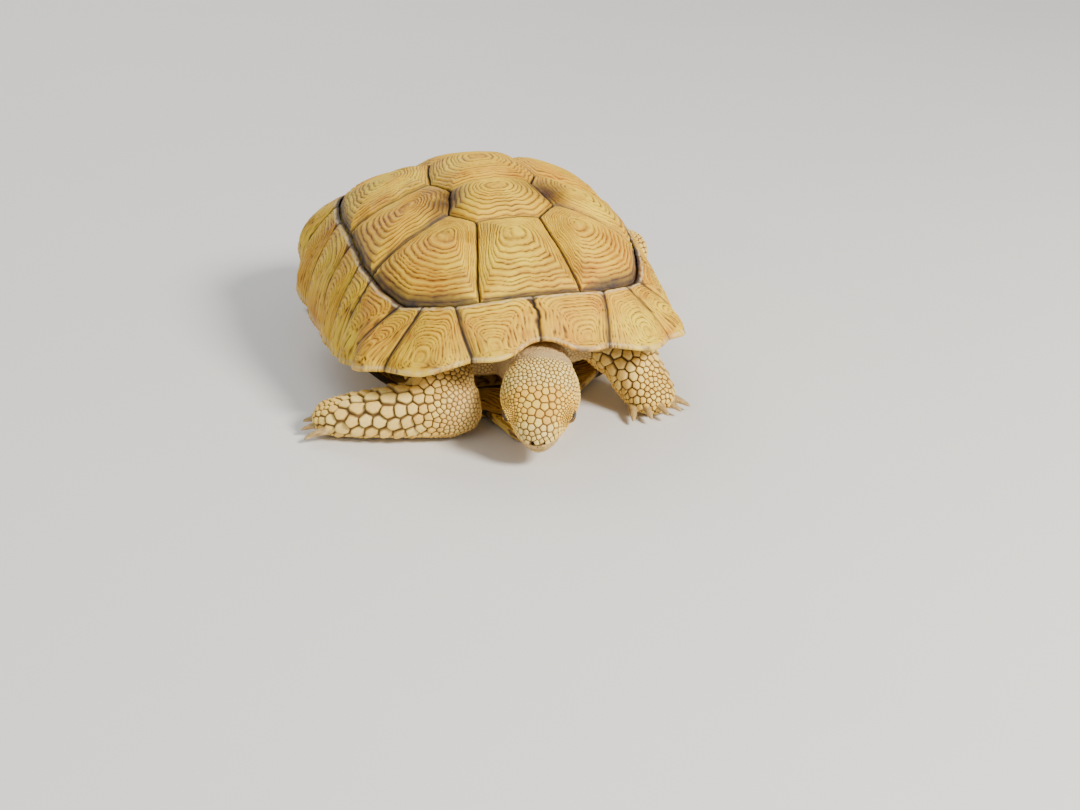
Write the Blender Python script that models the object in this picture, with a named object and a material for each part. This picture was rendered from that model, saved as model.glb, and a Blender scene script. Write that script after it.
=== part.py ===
"""Sulcata tortoise (African spurred tortoise), an adult at life size, grazing, its plastron on the ground.

Metres. The animal faces -Y, its left side is +X, and it rests on z = 0. Its shell is described over a disc:
r = 0 is the top of the dome and r = 1 the rim, and the azimuth runs from 0 degrees at the front to 180 at
the rear. A point (u, v) of the disc is (r sin a, -r cos a), so that -v looks forward as -Y does.
"""

import math

import bmesh
import bpy
import numpy as np
from mathutils import Vector

# ---------------------------------------------------------------- driving dimensions
SHELL_HALF_LENGTH = 0.230
SHELL_HALF_WIDTH = 0.177
SHELL_HEIGHT = 0.210
TOP_SHIFT = 0.022  # the top of the dome lies this far behind the middle
RIM_SQUARENESS = 2.6
RIM_WIDENING = 0.02  # wider behind than in front
RIM_HEIGHT = {"front": 0.101, "side": 0.053, "rear": 0.042}
ARCH_RISE = 0.052  # the rim arches up over each thigh
ARCH_AZIMUTH = 138.0
ARCH_WIDTH = 28.0
ARCH_REACH = 7
DOME_REACH = 0.786
DOME_FULLNESS = {"front": 2.20, "side": 2.32, "rear": 2.10}
DOME_STEEPNESS = {"front": 1.19, "side": 1.76, "rear": 1.26}
SHOULDER_DIP = {"front": 0.0, "side": 0.0074, "rear": 0.0090}  # the shoulders lie lower than a plain dome
SHOULDER_END = 0.73
NOTCH_DEPTH = 0.052  # the notch over the neck, where this species has no nuchal scute
NOTCH_WIDTH = 4.5

SCUTE_THICKNESS = 0.006
SCUTE_GAP = 0.0013  # in units of the disc, about 0.35 mm on each side
VERTEBRAL_MOUND = 0.0045
COSTAL_MOUND = 0.0040
MARGINAL_GROOVE = 0.0012

PLATE_THICKNESS = 0.009
PLATE_GAP = 0.0004
BRIDGE_HALF_WIDTH = 0.150
BRIDGE_RISE = 0.042
BRIDGE_START = 0.085

CUT = 0.0004  # the thin cut between one part of the body and the next
TRUNK_GAP = 0.00064  # the same cut measured at the trunk's corners
SHARP_ANGLE = math.radians(40)

HEAD_TURN = 18.5  # degrees towards the animal's right
HEAD_DROP = 36.0
HEAD_ROOT = Vector((0.0002, -0.224, 0.0755))
EYE_RADIUS = 0.0078
EYE_PLACE = (0.0510, 0.0262, 0.0080)  # along the head, to the side, up

# Marginal seams, front to rear: azimuth at the costals, azimuth at the rim, flare of the rim there.
MARGINAL_SEAMS = (
    (0.0, 0.0, 0.000),
    (23.6, 17.2, 0.002),
    (36.9, 46.8, 0.009),
    (47.3, 62.9, 0.006),
    (65.6, 72.1, 0.002),
    (76.0, 80.0, 0.001),
    (87.0, 89.0, 0.000),
    (99.0, 99.5, 0.002),
    (114.0, 113.0, 0.005),
    (130.0, 127.0, 0.004),
    (146.0, 146.0, 0.004),
    (163.0, 165.0, 0.005),
    (180.0, 180.0, 0.011),
)
# How much of the flare turns down, over the azimuth. Below zero it turns up.
FLARE_DROP = ((0, 32, 50, 66, 85, 180), (0.45, 0.40, -0.15, -0.15, 0.10, -0.25))
# Further flare in the middle of each marginal, front to rear, and of the supracaudal.
LOBES = (0.004, 0.008, 0.012, 0.004, 0.002, 0.001, 0.001, 0.006, 0.006, 0.006, 0.006, 0.001)
# Radius of the seam between marginals and costals at four azimuths.
SEAM_RADIUS = ((0, 45, 90, 135, 180), (0.7425, 0.7996, 0.6912, 0.720, 0.735))

# Corners of the vertebrals on the animal's left, front to rear, as (u, v) on the disc.
V12 = (0.1104, -0.3833)
V2_SIDE = (0.2254, -0.2859)
V23 = (0.1790, -0.1524)
V3_SIDE = (0.2500, -0.0300)
V34 = (0.1700, 0.1550)
V4_SIDE = (0.2350, 0.3000)
V45 = (0.1050, 0.4350)
V1_FRONT_AZIMUTH = 14.7
COSTAL_AZIMUTHS = (67.3, 90.75, 122.0, 156.0)

COLOURS = {
    "vertebral": (0.62, 0.42, 0.16),
    "costal": (0.52, 0.34, 0.11),
    "marginal": (0.60, 0.42, 0.16),
    "plastron": (0.62, 0.48, 0.24),
    "skin": (0.42, 0.31, 0.17),
    "scaly": (0.55, 0.42, 0.22),
    "horn": (0.30, 0.22, 0.13),
    "claw": (0.42, 0.33, 0.20),
    "eye": (0.02, 0.014, 0.010),
}


# ---------------------------------------------------------------- shell surface
def by_bearing(values, azimuth):
    """A value for the front, the side and the rear, blended by where the azimuth points."""
    ahead = np.cos(azimuth)
    front = np.clip(ahead, 0, 1) ** 2
    rear = np.clip(-ahead, 0, 1) ** 2
    side = values["side"]
    return side + (values["front"] - side) * front + (values["rear"] - side) * rear


def rim_point(azimuth):
    power = 2 / RIM_SQUARENESS
    s, c = np.sin(azimuth), np.cos(azimuth)
    x = SHELL_HALF_WIDTH * np.sign(s) * np.abs(s) ** power
    y = -SHELL_HALF_LENGTH * np.sign(c) * np.abs(c) ** power
    return x * (1 + RIM_WIDENING * y / SHELL_HALF_LENGTH), y, by_bearing(RIM_HEIGHT, azimuth)


def plan_reach(r):
    return np.sin(DOME_REACH * r * math.pi / 2) / math.sin(DOME_REACH * math.pi / 2)


def seam_radius(azimuth):
    return np.interp(np.degrees(np.abs(azimuth)), *SEAM_RADIUS)


def rim_arch(azimuth):
    return ARCH_RISE * np.exp(-(((np.degrees(np.abs(azimuth)) - ARCH_AZIMUTH) / ARCH_WIDTH) ** 4))


def rim_flare(azimuth):
    """How far the rim flares outwards at this azimuth: seam values, with a lobe between two seams."""
    a = np.degrees(np.abs(azimuth))
    rims = [seam[1] for seam in MARGINAL_SEAMS]
    base = np.interp(a, rims, [seam[2] for seam in MARGINAL_SEAMS])
    place = np.interp(a, rims, np.arange(len(rims)))
    scute = np.clip(place.astype(int), 0, len(LOBES) - 1)
    return base + np.array(LOBES)[scute] * np.sin(math.pi * (place - scute)) ** 1.3


def shell_points(azimuth, r):
    """Points on the outside of the carapace, before the mounds of the scutes."""
    azimuth, r = np.broadcast_arrays(np.asarray(azimuth, float), np.asarray(r, float))
    x, y, z = rim_point(azimuth)
    reach = plan_reach(np.clip(r, 0, 1))
    fullness = by_bearing(DOME_FULLNESS, azimuth)
    steepness = by_bearing(DOME_STEEPNESS, azimuth)
    rise = np.clip(1 - reach**fullness, 0, 1) ** (1 / steepness)
    inner = seam_radius(azimuth)
    edge = np.clip((r - inner) / (1 - inner), 0, 1) ** 2
    out_x, out_y = x / SHELL_HALF_WIDTH**2, y / SHELL_HALF_LENGTH**2
    length = np.hypot(out_x, out_y)
    flare = rim_flare(azimuth) * edge
    drop = np.interp(np.degrees(np.abs(azimuth)), *FLARE_DROP)
    arch = rim_arch(azimuth) * reach**ARCH_REACH
    dip = by_bearing(SHOULDER_DIP, azimuth) * np.sin(np.pi * np.clip(r / SHOULDER_END, 0, 1)) ** 2
    return np.stack(
        [
            x * reach + out_x / length * flare,
            TOP_SHIFT + (y - TOP_SHIFT) * reach + out_y / length * flare,
            z + (SHELL_HEIGHT - z) * rise + arch - dip - drop * flare,
        ],
        -1,
    )


def shell_normals(azimuth, r):
    azimuth, r = np.broadcast_arrays(np.asarray(azimuth, float), np.asarray(r, float))
    r = np.clip(r, 0.02, 0.985)
    step = 1e-3
    along = shell_points(azimuth, r + step) - shell_points(azimuth, r - step)
    around = shell_points(azimuth + step, r) - shell_points(azimuth - step, r)
    normal = np.cross(around, along)
    normal /= np.linalg.norm(normal, axis=-1, keepdims=True)
    return normal * np.where(normal[..., 2:] < 0, -1, 1)


def polar(points):
    u, v = np.asarray(points, float).T
    return np.arctan2(u, -v), np.hypot(u, v)


def on_seam(degrees):
    a = math.radians(degrees)
    r = float(seam_radius(a))
    return (r * math.sin(a), -r * math.cos(a))


# ---------------------------------------------------------------- objects
def clear_scene():
    for old in list(bpy.data.objects):
        bpy.data.objects.remove(old, do_unlink=True)


def material(name, kind, roughness=0.6):
    made = bpy.data.materials.new(name)
    made.use_nodes = True
    shader = made.node_tree.nodes["Principled BSDF"]
    shader.inputs["Base Color"].default_value = (*COLOURS[kind], 1)
    shader.inputs["Roughness"].default_value = roughness
    shader.inputs["Metallic"].default_value = 0
    return made


def add_object(name, vertices, faces, kind, roughness=0.6):
    mesh = bpy.data.meshes.new(name)
    mesh.from_pydata([tuple(map(float, v)) for v in vertices], [], faces)
    shape = bmesh.new()
    shape.from_mesh(mesh)
    bmesh.ops.triangulate(shape, faces=shape.faces, quad_method="FIXED")
    bmesh.ops.recalc_face_normals(shape, faces=shape.faces)
    if shape.calc_volume(signed=True) < 0:
        bmesh.ops.reverse_faces(shape, faces=shape.faces)
    shape.to_mesh(mesh)
    shape.free()
    mesh.shade_smooth()
    mesh.set_sharp_from_angle(angle=SHARP_ANGLE)
    obj = bpy.data.objects.new(name, mesh)
    bpy.context.scene.collection.objects.link(obj)
    obj.data.materials.append(material(name, kind, roughness))
    return obj


def combine(obj, other, operation, keep_other=False):
    """Applies one exact Boolean to obj."""
    modifier = obj.modifiers.new("combine", "BOOLEAN")
    modifier.operation = operation
    modifier.solver = "EXACT"
    modifier.object = other
    graph = bpy.context.evaluated_depsgraph_get()
    made = bpy.data.meshes.new_from_object(obj.evaluated_get(graph))
    obj.modifiers.clear()
    kept = obj.data.materials[0]
    obj.data = made
    made.shade_smooth()
    made.set_sharp_from_angle(angle=SHARP_ANGLE)
    made.materials.clear()
    made.materials.append(kept)
    for face in made.polygons:
        face.material_index = 0
    if not keep_other:
        bpy.data.objects.remove(other, do_unlink=True)
    return obj


def ring_faces(first, second, count):
    following = [(i + 1) % count for i in range(count)]
    return [(first + i, first + j, second + j, second + i) for i, j in enumerate(following)]


def tube_mesh(rings):
    """Vertices and faces of a closed solid through rings of equal size, with a fan at each end."""
    count = len(rings[0])
    vertices = [point for ring in rings for point in ring]
    faces = []
    for i in range(len(rings) - 1):
        faces += ring_faces(i * count, (i + 1) * count, count)
    for ring, first, flip in ((rings[0], 0, True), (rings[-1], (len(rings) - 1) * count, False)):
        vertices.append(np.mean(ring, axis=0))
        middle = len(vertices) - 1
        for i in range(count):
            a, b = first + i, first + (i + 1) % count
            faces.append((b, a, middle) if flip else (a, b, middle))
    return vertices, faces


# ---------------------------------------------------------------- vertebrals and costals
def edge_line(start, end, longest=0.11):
    """Points from start to just before end."""
    start, end = np.array(start), np.array(end)
    pieces = max(1, math.ceil(np.linalg.norm(end - start) / longest))
    return [tuple(start + (end - start) * i / pieces) for i in range(pieces)]


def seam_line(start, end, side=1):
    """Points along the marginal seam from one azimuth to just before another."""
    pieces = max(1, round(abs(end - start) / 6.5))
    points = [on_seam(start + (end - start) * i / pieces) for i in range(pieces)]
    return [(side * u, v) for u, v in points]


def mirrored(point):
    return (-point[0], point[1])


def outline_of_vertebral(number):
    left = {
        1: edge_line((V12[0], V12[1]), on_seam(V1_FRONT_AZIMUTH)) + seam_line(V1_FRONT_AZIMUTH, 0),
        2: edge_line(V23, V2_SIDE) + edge_line(V2_SIDE, V12) + edge_line(V12, (0, V12[1])),
        3: edge_line(V34, V3_SIDE) + edge_line(V3_SIDE, V23) + edge_line(V23, (0, V23[1])),
        4: edge_line(V45, V4_SIDE) + edge_line(V4_SIDE, V34) + edge_line(V34, (0, V34[1])),
        5: edge_line(on_seam(COSTAL_AZIMUTHS[3]), V45) + edge_line(V45, (0, V45[1])),
    }[number]
    rear = {
        1: [(0.0, V12[1])] + edge_line((0, V12[1]), V12)[1:],
        2: [(0.0, V23[1])] + edge_line((0, V23[1]), V23)[1:],
        3: [(0.0, V34[1])] + edge_line((0, V34[1]), V34)[1:],
        4: [(0.0, V45[1])] + edge_line((0, V45[1]), V45)[1:],
        5: seam_line(180, COSTAL_AZIMUTHS[3]),
    }[number]
    half = rear + left
    front = {
        1: on_seam(0),
        2: (0.0, V12[1]),
        3: (0.0, V23[1]),
        4: (0.0, V34[1]),
        5: (0.0, V45[1]),
    }[number]
    return half + [front] + [mirrored(point) for point in reversed(half[1:])]


def outline_of_costal(number, side):
    first, second, third, fourth = COSTAL_AZIMUTHS
    outline = {
        1: edge_line(V2_SIDE, V12)
        + edge_line(V12, on_seam(V1_FRONT_AZIMUTH))
        + seam_line(V1_FRONT_AZIMUTH, first)
        + edge_line(on_seam(first), V2_SIDE),
        2: edge_line(V3_SIDE, V23)
        + edge_line(V23, V2_SIDE)
        + edge_line(V2_SIDE, on_seam(first))
        + seam_line(first, second)
        + edge_line(on_seam(second), V3_SIDE),
        3: edge_line(V4_SIDE, V34)
        + edge_line(V34, V3_SIDE)
        + edge_line(V3_SIDE, on_seam(second))
        + seam_line(second, third)
        + edge_line(on_seam(third), V4_SIDE),
        4: edge_line(V45, V4_SIDE)
        + edge_line(V4_SIDE, on_seam(third))
        + seam_line(third, fourth)
        + edge_line(on_seam(fourth), V45),
    }[number]
    return [(side * u, v) for u, v in outline]


def shrunk(outline, distance):
    points = np.array(outline)
    before = points - np.roll(points, 1, axis=0)
    after = np.roll(points, -1, axis=0) - points
    area = np.sum(points[:, 0] * np.roll(points[:, 1], -1) - np.roll(points[:, 0], -1) * points[:, 1])
    turn = 1 if area > 0 else -1
    inward = []
    for edge in (before, after):
        edge = edge / np.linalg.norm(edge, axis=1, keepdims=True)
        inward.append(turn * np.stack([-edge[:, 1], edge[:, 0]], 1))
    middle = inward[0] + inward[1]
    middle /= np.linalg.norm(middle, axis=1, keepdims=True)
    stretch = 1 / np.clip(np.sum(middle * inward[0], axis=1), 0.5, 1)
    return points + middle * stretch[:, None] * distance


def build_scute(name, outline, areola, mound, kind):
    edge = shrunk(outline, SCUTE_GAP)
    areola = np.array(areola)

    def layer(share, lift):
        points = areola + share * (edge - areola)
        azimuth, r = polar(points)
        return shell_points(azimuth, r) + shell_normals(azimuth, r) * lift

    top = [layer(share, mound * (1 - share**2)) for share in (1.0, 0.72, 0.38)]
    bottom = [layer(share, -SCUTE_THICKNESS) for share in (0.55, 1.0)]
    rings = [bottom[0], bottom[1]] + top
    vertices, faces = tube_mesh(rings)
    # The two middles follow the dome instead of the flat of the innermost rings.
    azimuth, r = polar([areola])
    point, normal = shell_points(azimuth, r)[0], shell_normals(azimuth, r)[0]
    vertices[-2] = point - normal * SCUTE_THICKNESS
    vertices[-1] = point + normal * mound
    return add_object(name, vertices, faces, kind)


def build_scutes():
    middles = {1: (0.0, -0.520), 2: (0.0, -0.255), 3: (0.0, 0.0), 4: (0.0, 0.280), 5: (0.0, 0.590)}
    for number, middle in middles.items():
        outline = outline_of_vertebral(number)
        build_scute(f"vertebral_{number}", outline, middle, VERTEBRAL_MOUND, "vertebral")
    middles = {1: (0.243, -0.419), 2: (0.370, -0.150), 3: (0.370, 0.130), 4: (0.300, 0.430)}
    for side, word in ((1, "left"), (-1, "right")):
        for number, (u, v) in middles.items():
            outline = outline_of_costal(number, side)
            build_scute(f"costal_{word}_{number}", outline, (side * u, v), COSTAL_MOUND, "costal")


# ---------------------------------------------------------------- marginals
def marginal_columns(first, last, start_gap=0.0, end_gap=0.0):
    """Places along the row of marginals, as (place, groove). A seam is a groove between near neighbours."""
    columns = []
    for number in range(first, last):
        near = 0.045
        begin = number + (start_gap if number == first else near)
        end = number + 1 - (end_gap if number == last - 1 else near)
        if number != first:
            columns.append((float(number), MARGINAL_GROOVE))
        columns.append((begin, 0.0))
        columns += [(begin + (end - begin) * share, 0.0) for share in (0.35, 0.65)]
        columns.append((end, 0.0))
    return columns


def marginal_section(place, groove, side):
    """The closed outline of the rim at one place: seam, outer face, edge, lip below, inner face."""
    index = np.arange(len(MARGINAL_SEAMS))
    top = math.radians(np.interp(place, index, [seam[0] for seam in MARGINAL_SEAMS]))
    rim = math.radians(np.interp(place, index, [seam[1] for seam in MARGINAL_SEAMS]))
    inner = float(seam_radius(top)) + 2 * SCUTE_GAP
    outer = 1 - NOTCH_DEPTH * math.exp(-((math.degrees(rim) / NOTCH_WIDTH) ** 2)) - 4 * groove

    def at(share):
        azimuth = top + (rim - top) * share
        r = inner + (outer - inner) * share
        return shell_points(azimuth, r), shell_normals(azimuth, r)

    face = []
    for share in (0.0, 0.3, 0.62, 0.86, 1.0):
        point, normal = at(share)
        face.append(point - normal * groove)
    edge, edge_normal = at(1.0)
    outward = np.array([edge_normal[0], edge_normal[1], 0])
    outward /= np.linalg.norm(outward)
    under = [
        edge - outward * 0.0012 - np.array([0, 0, 0.0045]),
        edge - outward * 0.0140 - np.array([0, 0, 0.0035]),
    ]
    deep, deep_normal = at(0.6)
    root, root_normal = at(0.0)
    inside = [deep - deep_normal * 0.010, root - root_normal * SCUTE_THICKNESS]
    return np.array(face + under + inside) * np.array([side, 1, 1])


def build_marginals():
    last = len(MARGINAL_SEAMS) - 2
    for side, word in ((1, "left"), (-1, "right")):
        columns = marginal_columns(0, last, start_gap=0.010, end_gap=0.015)
        rings = [marginal_section(place, groove, side) for place, groove in columns]
        add_object(f"marginals_{word}", *tube_mesh(rings), "marginal")
    half = [marginal_section(last + share, 0.0, 1) for share in (0.015, 0.35, 0.7, 1.0)]
    rings = half + [ring * np.array([-1, 1, 1]) for ring in reversed(half[:-1])]
    add_object("supracaudal", *tube_mesh(rings), "marginal")


# ---------------------------------------------------------------- plastron
PLATE_EDGE = (
    (-0.226, -0.205, -0.180, -0.158, -0.140, -0.120, -0.104, 0.072, 0.090, 0.120, 0.150, 0.175, 0.196),
    (0.024, 0.032, 0.040, 0.056, 0.074, 0.088, 0.098, 0.098, 0.084, 0.070, 0.056, 0.046, 0.034),
)


def plate_row(name, front, rear, half_width, bridge):
    """One row of the plastron. front and rear give y over x, and half_width the reach to the side over y."""
    sides = 7 if bridge else 4
    shares = [i / sides for i in range(-sides, sides + 1)]
    grid = []
    for share in shares:
        column = []
        for step in (0.0, 0.5, 1.0):
            reach = half_width(front(0) + (rear(0) - front(0)) * step)
            x = share * reach
            ahead, behind = front(abs(x)) + PLATE_GAP, rear(abs(x)) - PLATE_GAP
            y = ahead + (behind - ahead) * step
            if bridge:
                out = max(0.0, abs(x) - BRIDGE_START) / (BRIDGE_HALF_WIDTH - BRIDGE_START)
                z = BRIDGE_RISE * out**1.6
            else:
                z = 0.006 * max(0.0, (abs(share) - 0.6) / 0.4) ** 2
            column.append((x, y, z))
        grid.append(column)
    lower = np.array(grid)
    upper = lower + np.array([0, 0, PLATE_THICKNESS])
    rings = [np.concatenate([low, high[::-1]]) for low, high in zip(lower, upper)]
    return add_object(name, *tube_mesh(rings), "plastron")


def build_plastron():
    def edge(y):
        return float(np.interp(y, *PLATE_EDGE))

    def wing(y):
        return BRIDGE_HALF_WIDTH

    seams = {
        "gular_front": lambda x: -0.213 - 0.55 * min(x, 0.018) + 0.9 * max(0.0, x - 0.018),
        "gular_humeral": lambda x: -0.178 + 0.30 * x,
        "humeral_pectoral": lambda x: -0.103 + 0.06 * x,
        "pectoral_abdominal": lambda x: -0.062 + 0.12 * x,
        "abdominal_femoral": lambda x: 0.070 - 0.03 * x,
        "femoral_anal": lambda x: 0.138 - 0.22 * x,
        "anal_rear": lambda x: 0.166 + 1.05 * min(x, 0.024) - 0.35 * max(0.0, x - 0.024),
    }
    rows = (
        ("gular", "gular_front", "gular_humeral", edge, False),
        ("humeral", "gular_humeral", "humeral_pectoral", edge, False),
        ("pectoral", "humeral_pectoral", "pectoral_abdominal", wing, True),
        ("abdominal", "pectoral_abdominal", "abdominal_femoral", wing, True),
        ("femoral", "abdominal_femoral", "femoral_anal", edge, False),
        ("anal", "femoral_anal", "anal_rear", edge, False),
    )
    for name, front, rear, half_width, bridge in rows:
        plate_row(f"plastron_{name}", seams[front], seams[rear], half_width, bridge)


# ---------------------------------------------------------------- trunk
TRUNK_REACH = {"front": 0.66, "side": 0.80, "rear": 0.70}
TRUNK_SHOULDER = {"front": 0.105, "side": 0.078, "rear": 0.066}
TRUNK_WAIST = {"front": 0.050, "side": 0.062, "rear": 0.042}


def build_trunk(name, grow=0.0):
    """The body inside the shell: it follows the dome from below, then drops to the plastron."""
    count = 24
    rings = []
    azimuths = (np.arange(count) / count * 2 - 1) * math.pi
    top_reach = by_bearing(TRUNK_REACH, azimuths)
    for share in (0.22, 0.48, 0.74, 1.0):
        r = share * top_reach
        depth = 0.0088 + 0.0065 * np.clip((r - 0.55) / 0.2, 0, 1)
        rings.append(shell_points(azimuths, r) - shell_normals(azimuths, r) * depth[:, None])
    x, y, _ = rim_point(azimuths)
    reach = plan_reach(top_reach)
    levels = (
        (0.985, by_bearing(TRUNK_SHOULDER, azimuths)),
        (0.945, by_bearing(TRUNK_WAIST, azimuths)),
        (0.86, np.full(count, 0.046)),
        (0.64, np.full(count, 0.024)),
        (0.36, np.full(count, 0.0125)),
    )
    for share, z in levels:
        plan = reach * share
        rings.append(np.stack([x * plan, TOP_SHIFT * 0.4 + (y - TOP_SHIFT * 0.4) * plan, z], 1))
    trunk = add_object(name, *tube_mesh(rings), "skin")
    for vertex in trunk.data.vertices:
        vertex.co += vertex.normal * grow
    return trunk


# ---------------------------------------------------------------- limbs, neck, tail
def across(along):
    """The side and up directions across a part that runs along this direction."""
    side = Vector((0, 0, 1)).cross(along).normalized()
    return side, along.cross(side).normalized()


def section(centre, along, width, above, below=None, count=14, squareness=2.3, floor=False):
    """A closed ring across a part. With floor, it is pressed flat at the ground."""
    side, up = across(Vector(along).normalized())
    power = 2 / squareness
    ring = []
    for i in range(count):
        c, s = math.cos(2 * math.pi * (i + 0.5) / count), math.sin(2 * math.pi * (i + 0.5) / count)
        height = above if s > 0 or below is None else below
        point = (
            Vector(centre)
            + side * width * math.copysign(abs(c) ** power, c)
            + up * height * math.copysign(abs(s) ** power, s)
        )
        ring.append((point.x, point.y, max(point.z, 0.0) if floor else point.z))
    return np.array(ring)


def limb(name, stations, kind="scaly", grow=0.0, mirror=False, count=14):
    """A solid through stations of (centre, width, height). grow makes it larger all round, for a cutter."""
    centres = [Vector((-c[0] if mirror else c[0], c[1], c[2])) for c, _, _ in stations]
    rings = []
    for i, (_, width, height) in enumerate(stations):
        before = centres[max(i - 1, 0)]
        after = centres[min(i + 1, len(centres) - 1)]
        along = (after - before).normalized()
        centre = centres[i]
        if grow and i in (0, len(centres) - 1):
            centre = centre + along * (grow if i else -grow)
        rings.append(section(centre, along, width + grow, height + grow, count=count, floor=not grow))
    return add_object(name, *tube_mesh(rings), kind)


UPPER_ARM = {
    "right": (
        ((0.086, -0.098, 0.078), 0.030, 0.028),
        ((0.087, -0.130, 0.070), 0.033, 0.031),
        ((0.085, -0.160, 0.055), 0.032, 0.030),
        ((0.081, -0.180, 0.043), 0.028, 0.026),
        ((0.079, -0.191, 0.037), 0.018, 0.017),
    ),
    "left": (
        ((0.086, -0.098, 0.078), 0.030, 0.028),
        ((0.090, -0.122, 0.072), 0.032, 0.029),
        ((0.097, -0.144, 0.060), 0.031, 0.029),
        ((0.103, -0.156, 0.049), 0.026, 0.025),
        ((0.106, -0.162, 0.043), 0.016, 0.016),
    ),
}
FOREARM = {
    "right": (
        ((0.052, -0.189, 0.034), 0.012, 0.015),
        ((0.060, -0.187, 0.033), 0.023, 0.025),
        ((0.080, -0.183, 0.032), 0.030, 0.031),
        ((0.112, -0.176, 0.028), 0.028, 0.027),
        ((0.142, -0.166, 0.024), 0.026, 0.024),
        ((0.168, -0.156, 0.020), 0.026, 0.0205),
        ((0.188, -0.146, 0.017), 0.025, 0.0175),
        ((0.200, -0.140, 0.0145), 0.020, 0.0140),
        ((0.205, -0.137, 0.0135), 0.012, 0.0090),
    ),
    "left": (
        ((0.097, -0.144, 0.066), 0.014, 0.013),
        ((0.101, -0.148, 0.060), 0.025, 0.024),
        ((0.108, -0.155, 0.049), 0.029, 0.027),
        ((0.114, -0.162, 0.038), 0.028, 0.026),
        ((0.119, -0.170, 0.028), 0.027, 0.0245),
        ((0.123, -0.179, 0.0210), 0.0265, 0.0210),
        ((0.126, -0.188, 0.0170), 0.0250, 0.0175),
        ((0.128, -0.197, 0.0145), 0.0200, 0.0140),
        ((0.129, -0.202, 0.0135), 0.0120, 0.0090),
    ),
}
THIGH = {
    "right": (
        ((0.074, 0.080, 0.072), 0.032, 0.030),
        ((0.082, 0.100, 0.060), 0.035, 0.032),
        ((0.092, 0.120, 0.045), 0.033, 0.026),
        ((0.102, 0.136, 0.035), 0.024, 0.018),
    ),
    "left": (
        ((0.080, 0.080, 0.072), 0.032, 0.030),
        ((0.100, 0.102, 0.056), 0.036, 0.030),
        ((0.130, 0.126, 0.027), 0.034, 0.0175),
        ((0.158, 0.145, 0.024), 0.026, 0.0160),
    ),
}
SHANK = {
    "right": (
        ((0.084, 0.112, 0.032), 0.018, 0.018),
        ((0.092, 0.121, 0.031), 0.027, 0.026),
        ((0.104, 0.139, 0.026), 0.028, 0.023),
        ((0.115, 0.156, 0.021), 0.028, 0.018),
        ((0.123, 0.173, 0.018), 0.028, 0.015),
        ((0.132, 0.186, 0.016), 0.024, 0.013),
        ((0.136, 0.192, 0.015), 0.015, 0.009),
    ),
    "left": (
        ((0.138, 0.132, 0.022), 0.016, 0.0130),
        ((0.150, 0.139, 0.022), 0.028, 0.0180),
        ((0.177, 0.153, 0.027), 0.031, 0.0235),
        ((0.200, 0.164, 0.031), 0.031, 0.031),
        ((0.217, 0.173, 0.029), 0.029, 0.030),
        ((0.225, 0.177, 0.027), 0.019, 0.021),
    ),
}
NECK = (
    ((0.000, -0.110, 0.064), 0.036, 0.032),
    ((0.001, -0.140, 0.064), 0.035, 0.031),
    ((0.002, -0.172, 0.067), 0.034, 0.029),
    ((0.002, -0.198, 0.073), 0.033, 0.028),
)
TAIL = (
    ((0.000, 0.140, 0.052), 0.022, 0.020),
    ((0.000, 0.166, 0.046), 0.020, 0.018),
    ((0.000, 0.190, 0.037), 0.016, 0.0145),
    ((0.002, 0.209, 0.026), 0.011, 0.0100),
    ((0.005, 0.221, 0.017), 0.006, 0.0055),
    ((0.007, 0.226, 0.013), 0.003, 0.0027),
)


# Claws of a foot: place of each root as (to the side, back from the end, height), the spread of the outer
# claws from straight ahead in degrees, and the length, half width, half height and droop of one claw.
FOREFOOT = {
    "places": (
        (-0.0215, 0.0120, 0.0105),
        (-0.0110, 0.0065, 0.0120),
        (0.0, 0.0040, 0.0130),
        (0.0110, 0.0065, 0.0120),
        (0.0215, 0.0120, 0.0105),
    ),
    "fan": 32,
    "claw": (0.0240, 0.0052, 0.0046, 0.0050),
}
HINDFOOT = {
    "places": (
        (-0.0185, 0.0080, 0.0110),
        (-0.0063, 0.0025, 0.0120),
        (0.0063, 0.0025, 0.0120),
        (0.0185, 0.0080, 0.0110),
    ),
    "fan": 26,
    "claw": (0.0250, 0.0058, 0.0051, 0.0055),
}
CLAW_TAPER = 0.80


def pair_limb(name, first, second, mirror, grow=0.0):
    """Two limb segments made one where they meet at the joint."""
    leg = limb(name, first, mirror=mirror, grow=grow)
    lower = limb(name + ".lower", second, mirror=mirror, grow=grow)
    return combine(leg, lower, "UNION")


def claw_mesh(name, root, direction, length, width, height, droop):
    """A horn claw that tapers to a blunt end and curves down from its root inside the toe."""
    direction = Vector(direction).normalized()
    rings = []
    for share in (0.0, 0.35, 0.68, 0.90, 1.0):
        centre = Vector(root) + direction * length * share - Vector((0, 0, droop * share**2))
        taper = 1 - CLAW_TAPER * share**1.6
        heading = (direction - Vector((0, 0, 2 * droop / length * share))).normalized()
        rings.append(section(centre, heading, width * taper, height * taper, count=8, squareness=2))
    return add_object(name, *tube_mesh(rings), "claw", 0.4)


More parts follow.
